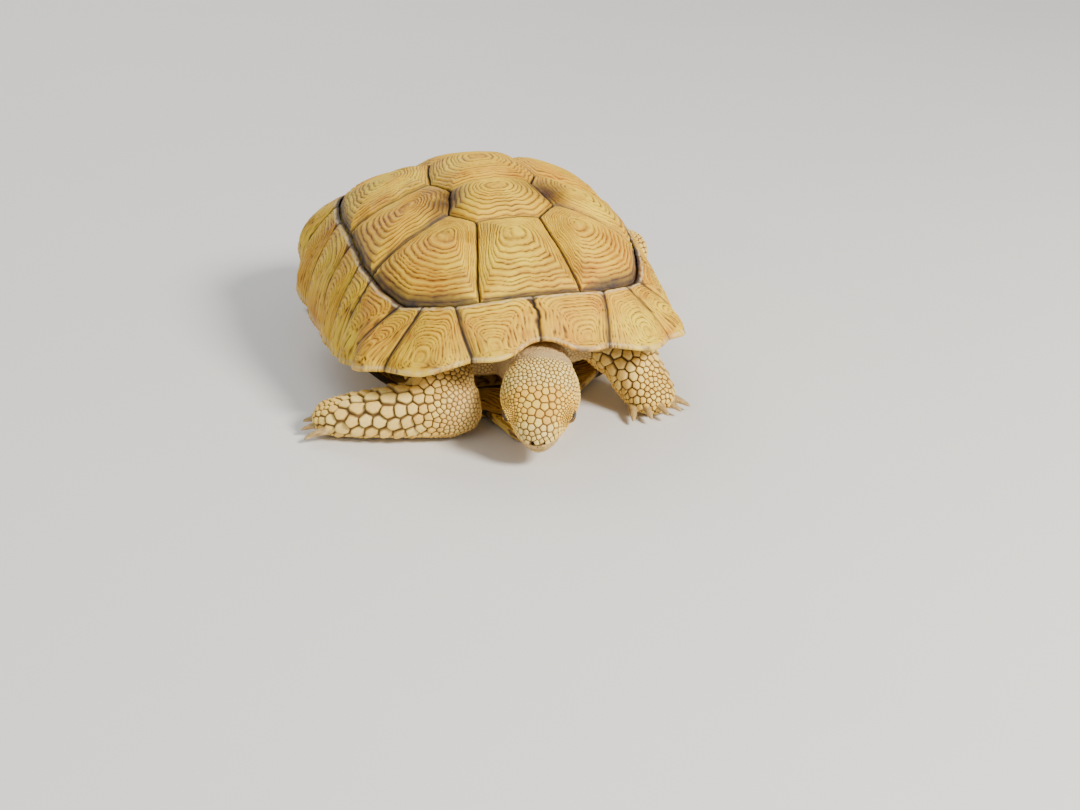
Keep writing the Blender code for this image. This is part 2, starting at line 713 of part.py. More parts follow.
def foot_claws(prefix, upper, lower, side, foot):
    """Claws fanned over the end of a foot, each cut free of the leg by a thin gap."""
    cutter = pair_limb("foot.cutter", upper, lower, side < 0, grow=CUT)
    end, before = lower[-2][0], lower[-4][0]
    forward = Vector(((end[0] - before[0]) * side, end[1] - before[1], 0)).normalized()
    sideways = Vector((-forward.y, forward.x, 0))
    widest = max(abs(place[0]) for place in foot["places"])
    for number, (offset, back, height) in enumerate(foot["places"], 1):
        angle = offset / widest * math.radians(foot["fan"])
        direction = forward * math.cos(angle) + sideways * math.sin(angle)
        root = Vector((end[0] * side, end[1], height)) + sideways * offset - forward * back
        claw = claw_mesh(f"claw_{prefix}_{number}", root, direction, *foot["claw"])
        combine(claw, cutter, "DIFFERENCE", keep_other=True)
    bpy.data.objects.remove(cutter, do_unlink=True)


def build_limbs():
    for side, word in ((1, "left"), (-1, "right")):
        trunk = build_trunk("trunk.cutter", grow=TRUNK_GAP)
        foreleg = pair_limb(f"foreleg_{word}", UPPER_ARM[word], FOREARM[word], side < 0)
        combine(foreleg, trunk, "DIFFERENCE", keep_other=True)
        hindleg = pair_limb(f"hindleg_{word}", THIGH[word], SHANK[word], side < 0)
        combine(hindleg, trunk, "DIFFERENCE")
        foot_claws(f"fore_{word}", UPPER_ARM[word], FOREARM[word], side, FOREFOOT)
        foot_claws(f"hind_{word}", THIGH[word], SHANK[word], side, HINDFOOT)


# ---------------------------------------------------------------- head
# Along the head from the nape: half width, height above the axis, depth below it.
HEAD_STATIONS = (
    (0.0000, 0.0330, 0.0280, 0.0270),
    (0.0130, 0.0368, 0.0298, 0.0285),
    (0.0260, 0.0382, 0.0306, 0.0285),
    (0.0375, 0.0366, 0.0306, 0.0272),
    (0.0470, 0.0330, 0.0292, 0.0256),
    (0.0560, 0.0286, 0.0262, 0.0240),
    (0.0640, 0.0242, 0.0224, 0.0222),
    (0.0710, 0.0196, 0.0180, 0.0206),
    (0.0762, 0.0153, 0.0134, 0.0186),
    (0.0802, 0.0107, 0.0085, 0.0156),
    (0.0830, 0.0062, 0.0030, 0.0108),
)
HEAD_SQUARENESS = 2.25
HEAD_COUNT = 20
MOUTH_LEVEL = -0.0055
BEAK_START = 0.0675


def head_direction():
    turn, drop = math.radians(HEAD_TURN), math.radians(HEAD_DROP)
    return Vector((-math.sin(turn) * math.cos(drop), -math.cos(turn) * math.cos(drop), -math.sin(drop)))


def head_point(s, to_left, above):
    side, up = across(head_direction())
    return HEAD_ROOT + head_direction() * s + side * to_left + up * above


def head_ring(station, shift=0.0):
    s, width, above, below = station
    centre = head_point(s + shift, 0, 0)
    return section(centre, head_direction(), width, above, below, HEAD_COUNT, HEAD_SQUARENESS)


def head_solid(name, kind="scaly"):
    return add_object(name, *tube_mesh([head_ring(station) for station in HEAD_STATIONS]), kind)


def head_box(name, near, far, low, high, half=0.06):
    frame = ((-half, low), (half, low), (half, high), (-half, high))
    corners = [tuple(head_point(s, a, b)) for s in (near, far) for a, b in frame]
    faces = [(0, 1, 2, 3), (7, 6, 5, 4), (0, 4, 5, 1), (1, 5, 6, 2), (2, 6, 7, 3), (3, 7, 4, 0)]
    return add_object(name, corners, faces, "skin")


def ball(name, centre, radius, kind, roughness=0.3):
    shape = bmesh.new()
    bmesh.ops.create_icosphere(shape, subdivisions=2, radius=radius)
    vertices = [tuple(Vector(centre) + vertex.co) for vertex in shape.verts]
    faces = [tuple(vertex.index for vertex in face.verts) for face in shape.faces]
    shape.free()
    return add_object(name, vertices, faces, kind, roughness)


def build_head():
    head = head_solid("head")
    combine(head, head_box("front.cutter", BEAK_START, 0.14, -0.06, 0.06), "DIFFERENCE")
    upper = head_solid("beak_upper", "horn")
    combine(upper, head_box("upper.cutter", BEAK_START + CUT, 0.14, MOUTH_LEVEL + CUT / 2, 0.06), "INTERSECT")
    lower = head_solid("beak_lower", "horn")
    below_mouth = head_box("lower.cutter", BEAK_START + CUT, 0.14, -0.06, MOUTH_LEVEL - CUT / 2)
    combine(lower, below_mouth, "INTERSECT")
    ahead, to_side, above = EYE_PLACE
    for side, word in ((1, "left"), (-1, "right")):
        centre = head_point(ahead, to_side * side, above)
        combine(head, ball("socket.cutter", centre, EYE_RADIUS + CUT, "skin"), "DIFFERENCE")
        ball(f"eye_{word}", centre, EYE_RADIUS, "eye", 0.15)


def build_neck_and_tail():
    centres = [Vector(centre) for centre, _, _ in NECK] + [head_point(-CUT, 0, 0)]
    rings = []
    for i, (_, width, height) in enumerate(NECK):
        along = centres[i + 1] - centres[max(i - 1, 0)]
        rings.append(section(centres[i], along, width, height, None, HEAD_COUNT, HEAD_SQUARENESS))
    rings.append(head_ring(HEAD_STATIONS[0], -CUT))
    neck = add_object("neck", *tube_mesh(rings), "skin")
    trunk = build_trunk("trunk.cutter", grow=TRUNK_GAP)
    combine(neck, trunk, "DIFFERENCE", keep_other=True)
    tail = limb("tail", TAIL, kind="skin", count=10)
    combine(tail, trunk, "DIFFERENCE")


def main():
    clear_scene()
    build_scutes()
    build_marginals()
    build_plastron()
    build_trunk("trunk")
    build_limbs()
    build_head()
    build_neck_and_tail()


main()
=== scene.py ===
"""Looks of the sulcata tortoise: ringed scutes, one scaled skin, lidded eyes, horn beak and claws.

Metres. The animal faces -Y and its left side is +X. The shell is described over a disc, as in the solids:
r = 0 is the top of the dome and r = 1 the rim, the azimuth is 0 at the front, and a point (u, v) of the
disc is (r sin a, -r cos a).
"""

from math import ceil, cos, dist, pi, radians, sin

import bmesh
import bpy
import numpy as np
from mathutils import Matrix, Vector
from mathutils.bvhtree import BVHTree
from mathutils.kdtree import KDTree


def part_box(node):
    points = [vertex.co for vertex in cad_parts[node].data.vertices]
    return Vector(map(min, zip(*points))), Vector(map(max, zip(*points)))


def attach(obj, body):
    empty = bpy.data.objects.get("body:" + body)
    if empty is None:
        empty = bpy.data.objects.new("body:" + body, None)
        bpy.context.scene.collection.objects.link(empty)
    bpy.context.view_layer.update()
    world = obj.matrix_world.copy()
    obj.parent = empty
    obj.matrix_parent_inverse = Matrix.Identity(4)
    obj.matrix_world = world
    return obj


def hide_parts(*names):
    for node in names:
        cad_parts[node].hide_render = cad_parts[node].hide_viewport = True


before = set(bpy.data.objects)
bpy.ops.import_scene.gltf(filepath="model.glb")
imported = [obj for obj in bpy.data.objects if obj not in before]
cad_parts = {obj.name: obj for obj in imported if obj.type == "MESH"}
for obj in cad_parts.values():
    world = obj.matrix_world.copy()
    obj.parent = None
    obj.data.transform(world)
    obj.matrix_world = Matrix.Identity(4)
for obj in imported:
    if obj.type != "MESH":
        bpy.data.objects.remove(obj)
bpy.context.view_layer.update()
rng = np.random.default_rng(7)

# ---------------------------------------------------------------- the shell's sizes, as in the solids
SHELL_HALF_LENGTH = 0.230
SHELL_HALF_WIDTH = 0.177
SHELL_HEIGHT = 0.210
TOP_SHIFT = 0.022
RIM_SQUARENESS = 2.6
RIM_WIDENING = 0.02
RIM_HEIGHT = {"front": 0.101, "side": 0.053, "rear": 0.042}
ARCH_RISE = 0.052
ARCH_AZIMUTH = 138.0
ARCH_WIDTH = 28.0
ARCH_REACH = 7
DOME_REACH = 0.786
DOME_FULLNESS = {"front": 2.20, "side": 2.32, "rear": 2.10}
DOME_STEEPNESS = {"front": 1.19, "side": 1.76, "rear": 1.26}
SHOULDER_DIP = {"front": 0.0, "side": 0.0074, "rear": 0.0090}
SHOULDER_END = 0.73
NOTCH_DEPTH = 0.052
NOTCH_WIDTH = 4.5
MARGINAL_SEAMS = (
    (0.0, 0.0, 0.000),
    (23.6, 17.2, 0.002),
    (36.9, 46.8, 0.009),
    (47.3, 62.9, 0.006),
    (65.6, 72.1, 0.002),
    (76.0, 80.0, 0.001),
    (87.0, 89.0, 0.000),
    (99.0, 99.5, 0.002),
    (114.0, 113.0, 0.005),
    (130.0, 127.0, 0.004),
    (146.0, 146.0, 0.004),
    (163.0, 165.0, 0.005),
    (180.0, 180.0, 0.011),
)
FLARE_DROP = ((0, 32, 50, 66, 85, 180), (0.45, 0.40, -0.15, -0.15, 0.10, -0.25))
LOBES = (0.004, 0.008, 0.012, 0.004, 0.002, 0.001, 0.001, 0.006, 0.006, 0.006, 0.006, 0.001)
SEAM_RADIUS = ((0, 45, 90, 135, 180), (0.7425, 0.7996, 0.6912, 0.720, 0.735))
# corners where scutes meet along the top: points of the disc on the left, or azimuths on the marginals' seam
V12, V23, V34, V45 = (0.1104, -0.3833), (0.1790, -0.1524), (0.1700, 0.1550), (0.1050, 0.4350)
V2_SIDE, V3_SIDE, V4_SIDE = (0.2254, -0.2859), (0.2500, -0.0300), (0.2350, 0.3000)
V1_FRONT = 14.7
COSTAL_ENDS = (67.3, 90.75, 122.0, 156.0)
VERTEBRALS = (
    # the left half of the outline, the areola, and the height of the mound
    ((V1_FRONT, V12), (0.0, -0.472), 0.0062),
    ((V12, V2_SIDE, V23), (0.0, -0.255), 0.0085),
    ((V23, V3_SIDE, V34), (0.0, 0.0), 0.0050),
    ((V34, V4_SIDE, V45), (0.0, 0.280), 0.0064),
    ((V45, COSTAL_ENDS[3]), (0.0, 0.590), 0.0060),
)
COSTALS = (
    # the whole outline of the left one, the areola and the mound
    ((V2_SIDE, V12, V1_FRONT, COSTAL_ENDS[0]), (0.243, -0.419), 0.0078),
    ((V3_SIDE, V23, V2_SIDE, *COSTAL_ENDS[:2]), (0.370, -0.150), 0.0072),
    ((V4_SIDE, V34, V3_SIDE, *COSTAL_ENDS[1:3]), (0.370, 0.130), 0.0032),
    ((V45, V4_SIDE, *COSTAL_ENDS[2:]), (0.300, 0.430), 0.0040),
)


SIDES = {"left": 1, "right": -1}  # the sign of x on each side


# ---------------------------------------------------------------- numbers
def steps(value, low, high):
    """0 up to low and 1 from high on, smoothly."""
    share = np.clip((value - low) / (high - low), 0, 1)
    return share * share * (3 - 2 * share)


def bell(value, width, power=2):
    """1 where the value is 0, and nothing well past the width on either side."""
    return np.exp(-((value / width) ** power))


def length_of(vectors):
    return np.linalg.norm(vectors, axis=-1)


def distance(points, place):
    return length_of(points - place)


def unit(vectors):
    vectors = np.asarray(vectors, float)
    return vectors / np.maximum(np.linalg.norm(vectors, axis=-1, keepdims=True), 1e-12)


def circle(count):
    """Angles evenly spaced over one turn."""
    return np.arange(count) / count * 2 * pi


def crowded(share, amount):
    """Shares from 0 to 1, closer together near 0 and 1."""
    return share - amount * np.sin(2 * pi * share) / pi


def on_grid(*values):
    """Arrays that broadcast together, as the last axis of one array."""
    return np.stack(np.broadcast_arrays(*values), -1)


def by_bearing(values, azimuth):
    """Blends the values for front, side and rear."""
    ahead = np.cos(azimuth)
    front, rear = np.clip(ahead, 0, 1) ** 2, np.clip(-ahead, 0, 1) ** 2
    side = values["side"]
    return side + (values["front"] - side) * front + (values["rear"] - side) * rear


def seam_radius(azimuth):
    """Where the seam over the marginals lies."""
    turn = np.degrees(np.abs(azimuth))
    return np.interp(np.minimum(turn, 360 - turn), *SEAM_RADIUS)


def rim_flare(azimuth):
    a = np.degrees(np.abs(azimuth))
    rims = [seam[1] for seam in MARGINAL_SEAMS]
    base = np.interp(a, rims, [seam[2] for seam in MARGINAL_SEAMS])
    place = np.interp(a, rims, np.arange(len(rims)))
    scute = np.clip(place.astype(int), 0, len(LOBES) - 1)
    return base + np.array(LOBES)[scute] * np.sin(pi * (place - scute)) ** 1.3


def shell_points(azimuth, r):
    """Points of the carapace for places of the disc."""
    azimuth, r = np.broadcast_arrays(np.asarray(azimuth, float), np.asarray(r, float))
    power = 2 / RIM_SQUARENESS
    s, c = np.sin(azimuth), np.cos(azimuth)
    y = -SHELL_HALF_LENGTH * np.sign(c) * np.abs(c) ** power
    x = SHELL_HALF_WIDTH * np.sign(s) * np.abs(s) ** power * (1 + RIM_WIDENING * y / SHELL_HALF_LENGTH)
    z = by_bearing(RIM_HEIGHT, azimuth)
    reach = np.sin(DOME_REACH * np.clip(r, 0, 1) * pi / 2) / sin(DOME_REACH * pi / 2)
    rise = np.clip(1 - reach ** by_bearing(DOME_FULLNESS, azimuth), 0, 1)
    rise = rise ** (1 / by_bearing(DOME_STEEPNESS, azimuth))
    inner = seam_radius(azimuth)
    out_x, out_y = x / SHELL_HALF_WIDTH**2, y / SHELL_HALF_LENGTH**2
    length = np.hypot(out_x, out_y)
    flare = rim_flare(azimuth) * np.clip((r - inner) / (1 - inner), 0, 1) ** 2
    turn = np.degrees(np.abs(azimuth))
    arch = ARCH_RISE * bell(turn - ARCH_AZIMUTH, ARCH_WIDTH, 4) * reach**ARCH_REACH
    dip = by_bearing(SHOULDER_DIP, azimuth) * np.sin(pi * np.clip(r / SHOULDER_END, 0, 1)) ** 2
    z = z + (SHELL_HEIGHT - z) * rise + arch - dip - np.interp(turn, *FLARE_DROP) * flare
    y = TOP_SHIFT + (y - TOP_SHIFT) * reach + out_y / length * flare
    return on_grid(x * reach + out_x / length * flare, y, z)


def shell_normals(azimuth, r):
    r = np.clip(r, 0.02, 0.985)
    step = 1e-3
    along = shell_points(azimuth, r + step) - shell_points(azimuth, r - step)
    around = shell_points(azimuth + step, r) - shell_points(azimuth - step, r)
    normal = unit(np.cross(around, along))
    return normal * np.where(normal[..., 2:] < 0, -1, 1)


def polar(points):
    """Azimuth and r of points of the disc."""
    u, v = points[..., 0], points[..., 1]
    return np.arctan2(u, -v), np.hypot(u, v)


def from_polar(azimuth, r):
    return on_grid(r * np.sin(azimuth), -r * np.cos(azimuth))


# ---------------------------------------------------------------- noise
NOISE_PRIMES = (73856093, 19349663, 83492791)


def noise(points, size, seed=0):
    """Smooth noise from -1 to 1 at points of two or three coordinates. size is the width of one bump."""
    points = np.asarray(points, float) / size
    base = np.floor(points).astype(np.int64)
    part = points - base
    part = part * part * (3 - 2 * part)
    total = 0.0
    for corner in np.ndindex(*(2,) * points.shape[-1]):
        cell = base + np.array(corner)
        mixed = (cell * np.array(NOISE_PRIMES[: cell.shape[-1]])).sum(-1) + seed * 2654435761
        mixed = (mixed ^ (mixed >> 13)) * 1274126177 & 0xFFFFFFFF
        mixed = (mixed ^ (mixed >> 16)) * 2246822519 & 0xFFFFFFFF
        share = np.prod(np.where(np.array(corner) == 1, part, 1 - part), axis=-1)
        total = total + share * (mixed / 0xFFFFFFFF * 2 - 1)
    return total


def bumps(points, seed, *kinds):
    """Noise of several kinds added up. Each has its size, its height and what it adds to the seed."""
    return sum(height * noise(points, size, seed + more) for size, height, more in kinds)


# ---------------------------------------------------------------- meshes and shader nodes
def placed(name, data):
    """A new object in the scene."""
    made = bpy.data.objects.new(name, data)
    bpy.context.scene.collection.objects.link(made)
    return made


def mesh_object(name, vertices, faces, attributes=None):
    """A mesh from arrays. faces is (n, 3) or (n, 4), or a list of such arrays.

    attributes go on its points.
    """
    blocks = faces if isinstance(faces, list) else [faces]
    mesh = bpy.data.meshes.new(name)
    mesh.vertices.add(len(vertices))
    mesh.vertices.foreach_set("co", np.asarray(vertices, np.float32).ravel())
    corners = np.concatenate([np.asarray(block).ravel() for block in blocks])
    sizes = np.concatenate([np.full(len(block), np.shape(block)[1]) for block in blocks])
    mesh.loops.add(len(corners))
    mesh.loops.foreach_set("vertex_index", corners.astype(np.int32))
    mesh.polygons.add(len(sizes))
    mesh.polygons.foreach_set("loop_start", np.concatenate([[0], np.cumsum(sizes)[:-1]]).astype(np.int32))
    mesh.update(calc_edges=True)
    mesh.validate()
    for key, values in (attributes or {}).items():
        values = np.asarray(values, np.float32)
        kind, field = ("FLOAT_VECTOR", "vector") if values.ndim == 2 else ("FLOAT", "value")
        mesh.attributes.new(key, kind, "POINT").data.foreach_set(field, values.ravel())
    mesh.shade_smooth()
    return placed(name, mesh)


def dress(piece, slot, material, *nodes):
    """Puts a piece on the body with its finish, in place of the CAD nodes named."""
    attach(piece, "root")
    if nodes:
        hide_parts(*nodes)
    piece.data.materials.clear()
    piece.data.materials.append(material)
    return piece


def linear(red, green, blue):
    """A colour given as it looks on a screen, 0 to 255, in the linear values that shaders use."""
    values = np.array([red, green, blue]) / 255
    return (*np.where(values <= 0.04045, values / 12.92, ((values + 0.055) / 1.055) ** 2.4), 1.0)


class Shader:
    """A Principled material and short calls that add nodes to it."""

    def __init__(self, name):
        self.material = bpy.data.materials.new(name)
        self.material.use_nodes = True
        self.tree = self.material.node_tree
        self.surface = self.tree.nodes["Principled BSDF"]

    def put(self, socket, value):
        if isinstance(value, bpy.types.NodeSocket):
            self.tree.links.new(value, socket)
        else:
            socket.default_value = value

    def node(self, kind, inputs=(), **settings):
        made = self.tree.nodes.new("ShaderNode" + kind)
        for key, value in settings.items():
            setattr(made, key, value)
        for key, value in dict(inputs).items():
            self.put(made.inputs[key], value)
        return made

    def attribute(self, name, output="Fac"):
        return self.node("Attribute", attribute_name=name).outputs[output]

    def place(self):
        return self.node("NewGeometry").outputs["Position"]

    def scaled(self, vector, factors):
        return self.node("VectorMath", {0: vector, 1: factors}, operation="MULTIPLY").outputs[0]

    def noise(self, vector, scale, detail=3.0, roughness=0.55):
        inputs = {"Vector": vector, "Scale": scale, "Detail": detail, "Roughness": roughness}
        return self.node("TexNoise", inputs).outputs["Fac"]

    def math(self, operation, first, second=0.5):
        return self.node("Math", {0: first, 1: second}, operation=operation).outputs[0]

    def span(self, value, low, high, to_low=0.0, to_high=1.0):
        """Maps low..high of a value to to_low..to_high, clamped."""
        inputs = {"Value": value, "From Min": low, "From Max": high, "To Min": to_low, "To Max": to_high}
        return self.node("MapRange", inputs).outputs["Result"]

    def mottle(self, scale, detail, *spread, roughness=0.55):
        """Noise over the body, spread as span does."""
        return self.span(self.noise(self.place(), scale, detail, roughness), *spread)

    def mix(self, share, *colours):
        """Goes from the first colour to the second. Each is a socket, or 0 to 255 as on a screen."""
        made = self.node("Mix", data_type="RGBA")
        self.put(made.inputs["Factor"], share)
        sockets = [socket for socket in made.inputs if socket.type == "RGBA"]
        for socket, colour in zip(sockets, colours):
            self.put(socket, linear(*colour) if isinstance(colour, tuple) else colour)
        return next(socket for socket in made.outputs if socket.type == "RGBA")

    def bump(self, height, distance, strength=1.0, after=None):
        inputs = {"Height": height, "Distance": distance, "Strength": strength}
        if after is not None:
            inputs["Normal"] = after
        return self.node("Bump", inputs).outputs["Normal"]

    def finish(self, colour, roughness, normal=None, **values):
        self.put(self.surface.inputs["Base Color"], colour)
        self.put(self.surface.inputs["Roughness"], roughness)
        if normal is not None:
            self.put(self.surface.inputs["Normal"], normal)
        for key, value in values.items():
            self.surface.inputs[key.replace("_", " ")].default_value = value
        return self.material


# ---------------------------------------------------------------- growth rings
RING_SIZE = 0.0044  # from one growth ring to the next
RING_WIDTHS = (0.55, 1.45)  # least and most, as shares of that
RING_SHRINKING = (1.2, 0.75)  # share of the width at the areola and at the seam
RING_STRENGTHS = (0.5, 1.25)  # least and most, as shares of the relief
FINE_RINGS = 3  # in one ring
VERTEBRAL_RELIEF = 0.0018
COSTAL_RELIEF = 0.0021
MARGINAL_RELIEF = 0.0016
AREOLA_SHARE = 0.17
SEAM_DEPTH = 0.0018
SEAM_WIDTH = 0.0011
VALLEY_DEPTH = 0.0034
VALLEY_WIDTH = 0.0095
SKIRT = 0.0035
ROUNDING = 26  # columns that an inner ring's corners are rounded over
OUTLINE_STEP = 0.0015
OUTLINE_DEGREES, OUTLINE_SHARE = 0.35, 0.003  # steps before that, in azimuth and in the disc
SCUTE_LEVELS = 72  # points from the areola to the seam
MARGINAL_LEVELS = 60  # points from the seam above to the rim
MARGINAL_COLUMN = 0.0014  # from one column of a marginal to the next
FEWEST_COLUMNS = 22  # of one marginal
MARGINAL_SEAM = (0.0016, 0.0013)  # depth and width of the seams between the marginals
MARGINAL_BULGE = (0.0013, 0.020)  # height of each marginal's middle, and how far in it is reached
SEARCH_BLOCK = 4000  # points whose nearest targets are looked for at once
SOFT_EDGE = 0.004  # the rings fade this near a seam
STAIN_PLACE = (0.205, -0.215)  # old brown stain about the corners of the second vertebral, on each side
STAIN_REACH = 0.100
NEW_GROWTH = {"outer": 0.0132, "between": 0.0042, "middle": 0.0016}  # width of the grey strip at a seam


def ring_relief(points, rays, share, reach, areola_share, relief, seed, wander=0.0016):
    """Growth rings where share runs from the areola, 0, to the seam, 1.

    Returns each point's height, how far up a ridge it is, and the tone of its ring.
    """
    count = max(5, round(float(np.median(reach)) * (1 - areola_share) / RING_SIZE))
    local = np.random.default_rng(seed)
    widths = local.uniform(*RING_WIDTHS, count) * np.linspace(*RING_SHRINKING, count)
    knots = areola_share + (1 - areola_share) * np.concatenate([[0], np.cumsum(widths) / widths.sum()])
    wave = bumps(rays, seed, (0.016, 0.9, 0), (0.0065, 0.8, 1))
    wave = wave + bumps(points, seed, (0.018, 0.9, 2), (0.006, 0.45, 5))
    calm = np.sqrt(np.clip(share, 0, 1)) * np.clip((1 - share) * 9, 0, 1)
    phase = np.interp(share + wave * wander / reach * calm, knots, np.arange(count + 1))
    part = phase - np.floor(phase)
    ridge = np.abs(np.sin(pi * part)) ** 0.6
    ring = np.floor(phase).astype(int)
    strength = local.uniform(*RING_STRENGTHS, count + 2)[ring]
    strength = strength * np.clip(0.85 + 0.45 * noise(points, 0.020, seed + 3), 0.2, 2)
    minor = np.cos(2 * pi * part * FINE_RINGS)
    grown = np.clip((share - areola_share * 0.7) / (areola_share * 0.6), 0, 1)
    height = relief * ((ridge - 0.6) * strength + 0.10 * minor) * grown
    boss = bumps(points, seed, (0.0050, 0.9, 4), (0.0022, 0.7, 6))
    height = height + (1 - grown) * boss * relief * 0.35
    height = height + bumps(points, 0, (0.035, 0.0008, 5), (0.007, 0.00018, 6))
    own_tone = np.interp(phase, np.arange(count + 2), local.random(count + 2))
    tone = 0.65 * own_tone + 0.35 * np.clip(share, 0, 1) ** 2
    # the areola gets a high ridge value here, so the shader keeps it pale and gives it part of the painted
    # highlight of ridge tops
    return height, np.clip(ridge * grown + (0.80 + 0.24 * boss) * (1 - grown), 0, 1), tone


def wandering(points):
    """Moves points of the disc a little, so that seams aren't ruled lines. Neighbours move alike."""
    fade = np.clip((0.95 - length_of(points)) / 0.12, 0, 1)[..., None]
    moves = [bumps(points, seed, (0.06, 0.0040, 0), (0.016, 0.0016, 2)) for seed in (11, 12)]
    return points + np.stack(moves, -1) * fade


def on_disc(stop):
    """A stop of an outline: a point of the disc, or the azimuth of one on the seam over the marginals."""
    return from_polar(radians(stop), seam_radius(radians(stop))) if np.isscalar(stop) else np.array(stop)


def mirrored(stop):
    if np.isscalar(stop):
        return -stop if stop < 90 else 360 - stop
    return (-stop[0], stop[1])


def outline_side(start, end):
    """The outline from one stop to the next, as rows of u, v and the width of new growth."""
    if np.isscalar(start) and np.isscalar(end):
        count = max(2, ceil(abs(end - start) / OUTLINE_DEGREES))
        azimuth = np.radians(start + (end - start) * np.arange(count) / count)
        width = NEW_GROWTH["outer"] * (0.38 + 0.62 * steps(np.abs(azimuth), 0.22, 0.48))
        return np.hstack([from_polar(azimuth, seam_radius(azimuth)), width[:, None]])
    width = NEW_GROWTH["between" if {start, end} & set(COSTAL_ENDS[:3]) else "middle"]
    start, end = on_disc(start), on_disc(end)
    count = max(2, ceil(dist(start, end) / OUTLINE_SHARE))
    share = np.arange(count)[:, None] / count
    return np.hstack([start + (end - start) * share, np.full((count, 1), width)])


def outline_of(stops):
    return np.concatenate([outline_side(start, end) for start, end in zip(stops, [*stops[1:], stops[0]])])


def travelled(points, axis):
    """Distance along one axis of a grid of points, from its first."""
    return np.insert(length_of(np.diff(points, axis=axis)).cumsum(axis), 0, 0, axis)


def resampled(rows, points, spacing):
    """Rows of a closed outline, taken again at even distances along its points."""
    path = travelled(np.vstack([points, points[:1]]), 0)
    count = round(path[-1] / spacing)
    wanted = np.arange(count) / count * path[-1]
    return np.stack([np.interp(wanted, path, column) for column in np.vstack([rows, rows[:1]]).T], 1), wanted


def nearest(points, targets):
    """Distance from each point to the closest target, and which target that is."""
    flat = points.reshape(-1, 3)
    best, index = np.empty(len(flat)), np.empty(len(flat), int)
    for start in range(0, len(flat), SEARCH_BLOCK):
        block = slice(start, start + SEARCH_BLOCK)
        gaps = distance(flat[block, None], targets[None])
        index[block], best[block] = gaps.argmin(1), gaps.min(1)
    return best.reshape(points.shape[:-1]), index.reshape(points.shape[:-1])


def grid_faces(rows, columns, wrap):
    """Quads between the points of a grid that is stored row by row."""
    last = columns if wrap else columns - 1
    row, column = np.meshgrid(np.arange(rows - 1), np.arange(last), indexing="ij")
    here = row * columns + column
    beside = row * columns + (column + 1) % columns
    return np.stack([here, beside, beside + columns, here + columns], -1).reshape(-1, 4)


def fan(ring, tip):
    """Triangles from a closed ring of points to its tip."""
    return np.stack([np.full(len(ring), tip), ring, np.roll(ring, -1)], 1)


def build_scute(node, outline, areola, side, relief, mound, seed, material):
    """One ringed scute. side -1 builds the outline, which is the left one's, on the right."""
    mirror = np.array([side, 1])
    shift = [noise([place], 3)[0] for place in ((seed, 0.5), (0.5, seed))]
    areola = np.array(areola) * mirror + 0.012 * np.array(shift)
    rows = np.hstack([wandering(outline[:, :2] * mirror), outline[:, 2:]])
    rows, along = resampled(rows, shell_points(*polar(rows[:, :2])), OUTLINE_STEP)
    border = rows[:, :2]
    edge_points = shell_points(*polar(border))
    reach = distance(edge_points, shell_points(*polar(areola)))[None]
    share = (1 - (1 - np.linspace(0, 1, SCUTE_LEVELS)[1:]) ** 1.08)[:, None]
    rounder = np.mean([np.roll(border, turn, axis=0) for turn in range(-ROUNDING, ROUNDING + 1)], axis=0)
    edge = rounder + (border - rounder) * (share**1.6)[..., None]
    disc = areola + share[..., None] * (edge - areola)
    points, normals = shell_points(*polar(disc)), shell_normals(*polar(disc))
    rays = np.broadcast_to(shell_points(*polar(areola + 0.72 * (border - areola))), points.shape)
    height, ridge, tone = ring_relief(points, rays, share, reach, AREOLA_SHARE, relief, seed)
    gap, closest = nearest(points, edge_points)
    groove, growth = bell(gap, SEAM_WIDTH), bell(gap, rows[closest, 2], 3.5)
    lift = height * np.clip(gap / SOFT_EDGE, 0.25, 1) * (1 - 0.4 * growth) + mound * (1 - share**1.6)
    lift = lift - SEAM_DEPTH * groove - VALLEY_DEPTH * bell(gap, VALLEY_WIDTH) - 0.0008 * growth
    points = points + normals * lift[..., None]
    vertices = np.concatenate([points.reshape(-1, 3), points[-1] - normals[-1] * SKIRT, points[:1].mean(1)])
    faces = [grid_faces(len(share) + 1, len(along), True), fan(np.arange(len(along)), len(vertices) - 1)]
    if side > 0:
        faces = [block[:, ::-1] for block in faces]

    def column(values):
        values = np.broadcast_to(values, gap.shape)
        return np.concatenate([values.ravel(), values[-1], [values[0].mean()]])

    stain = bell(distance(on_grid(np.abs(disc[..., 0]), disc[..., 1]), STAIN_PLACE), STAIN_REACH)
    values = {"ring": ridge, "seam": groove, "growth": growth, "band": tone, "pale": 0.0, "stain": stain}
    flow = on_grid(along, share * reach, seed * 0.37)
    flow = np.concatenate([flow.reshape(-1, 3), flow[-1], flow[:1, 0]])
    attributes = {key: column(value) for key, value in values.items()} | {"flow": flow}
    piece = mesh_object("scute_" + node, vertices, faces, attributes)
    dress(piece, node.split("_")[0], material, node)


def build_scutes(material):
    for number, (left, areola, mound) in enumerate(VERTEBRALS, 1):
        outline = outline_of([*left, *map(mirrored, reversed(left))])
        node, seed = f"vertebral_{number}", 20 + number
        build_scute(node, outline, areola, 1, VERTEBRAL_RELIEF, mound, seed, material)
    for side, sign in SIDES.items():
        for number, (stops, areola, mound) in enumerate(COSTALS, 1):
            node, seed = f"costal_{side}_{number}", 40 + number + 10 * sign
            build_scute(node, outline_of(stops), areola, sign, COSTAL_RELIEF, mound, seed, material)


# ---------------------------------------------------------------- marginals
ROLLED_RIM = (
    # how far the rim's underside stands out and how far down it is, and whether the seams dent it
    (0.0009, 0.0008, 1),
    (0.0011, 0.0022, 1),
    (0.0004, 0.0036, 1),
    (-0.0012, 0.0046, 1),
    (-0.0050, 0.0048, 1),
    (-0.0090, 0.0042, 0),
    (-0.0140, 0.0042, 0),
)
UNDER_RIM = ((39, 0.0085), (0, 0.0055))  # rows of the outside, and how thick the scute is at each


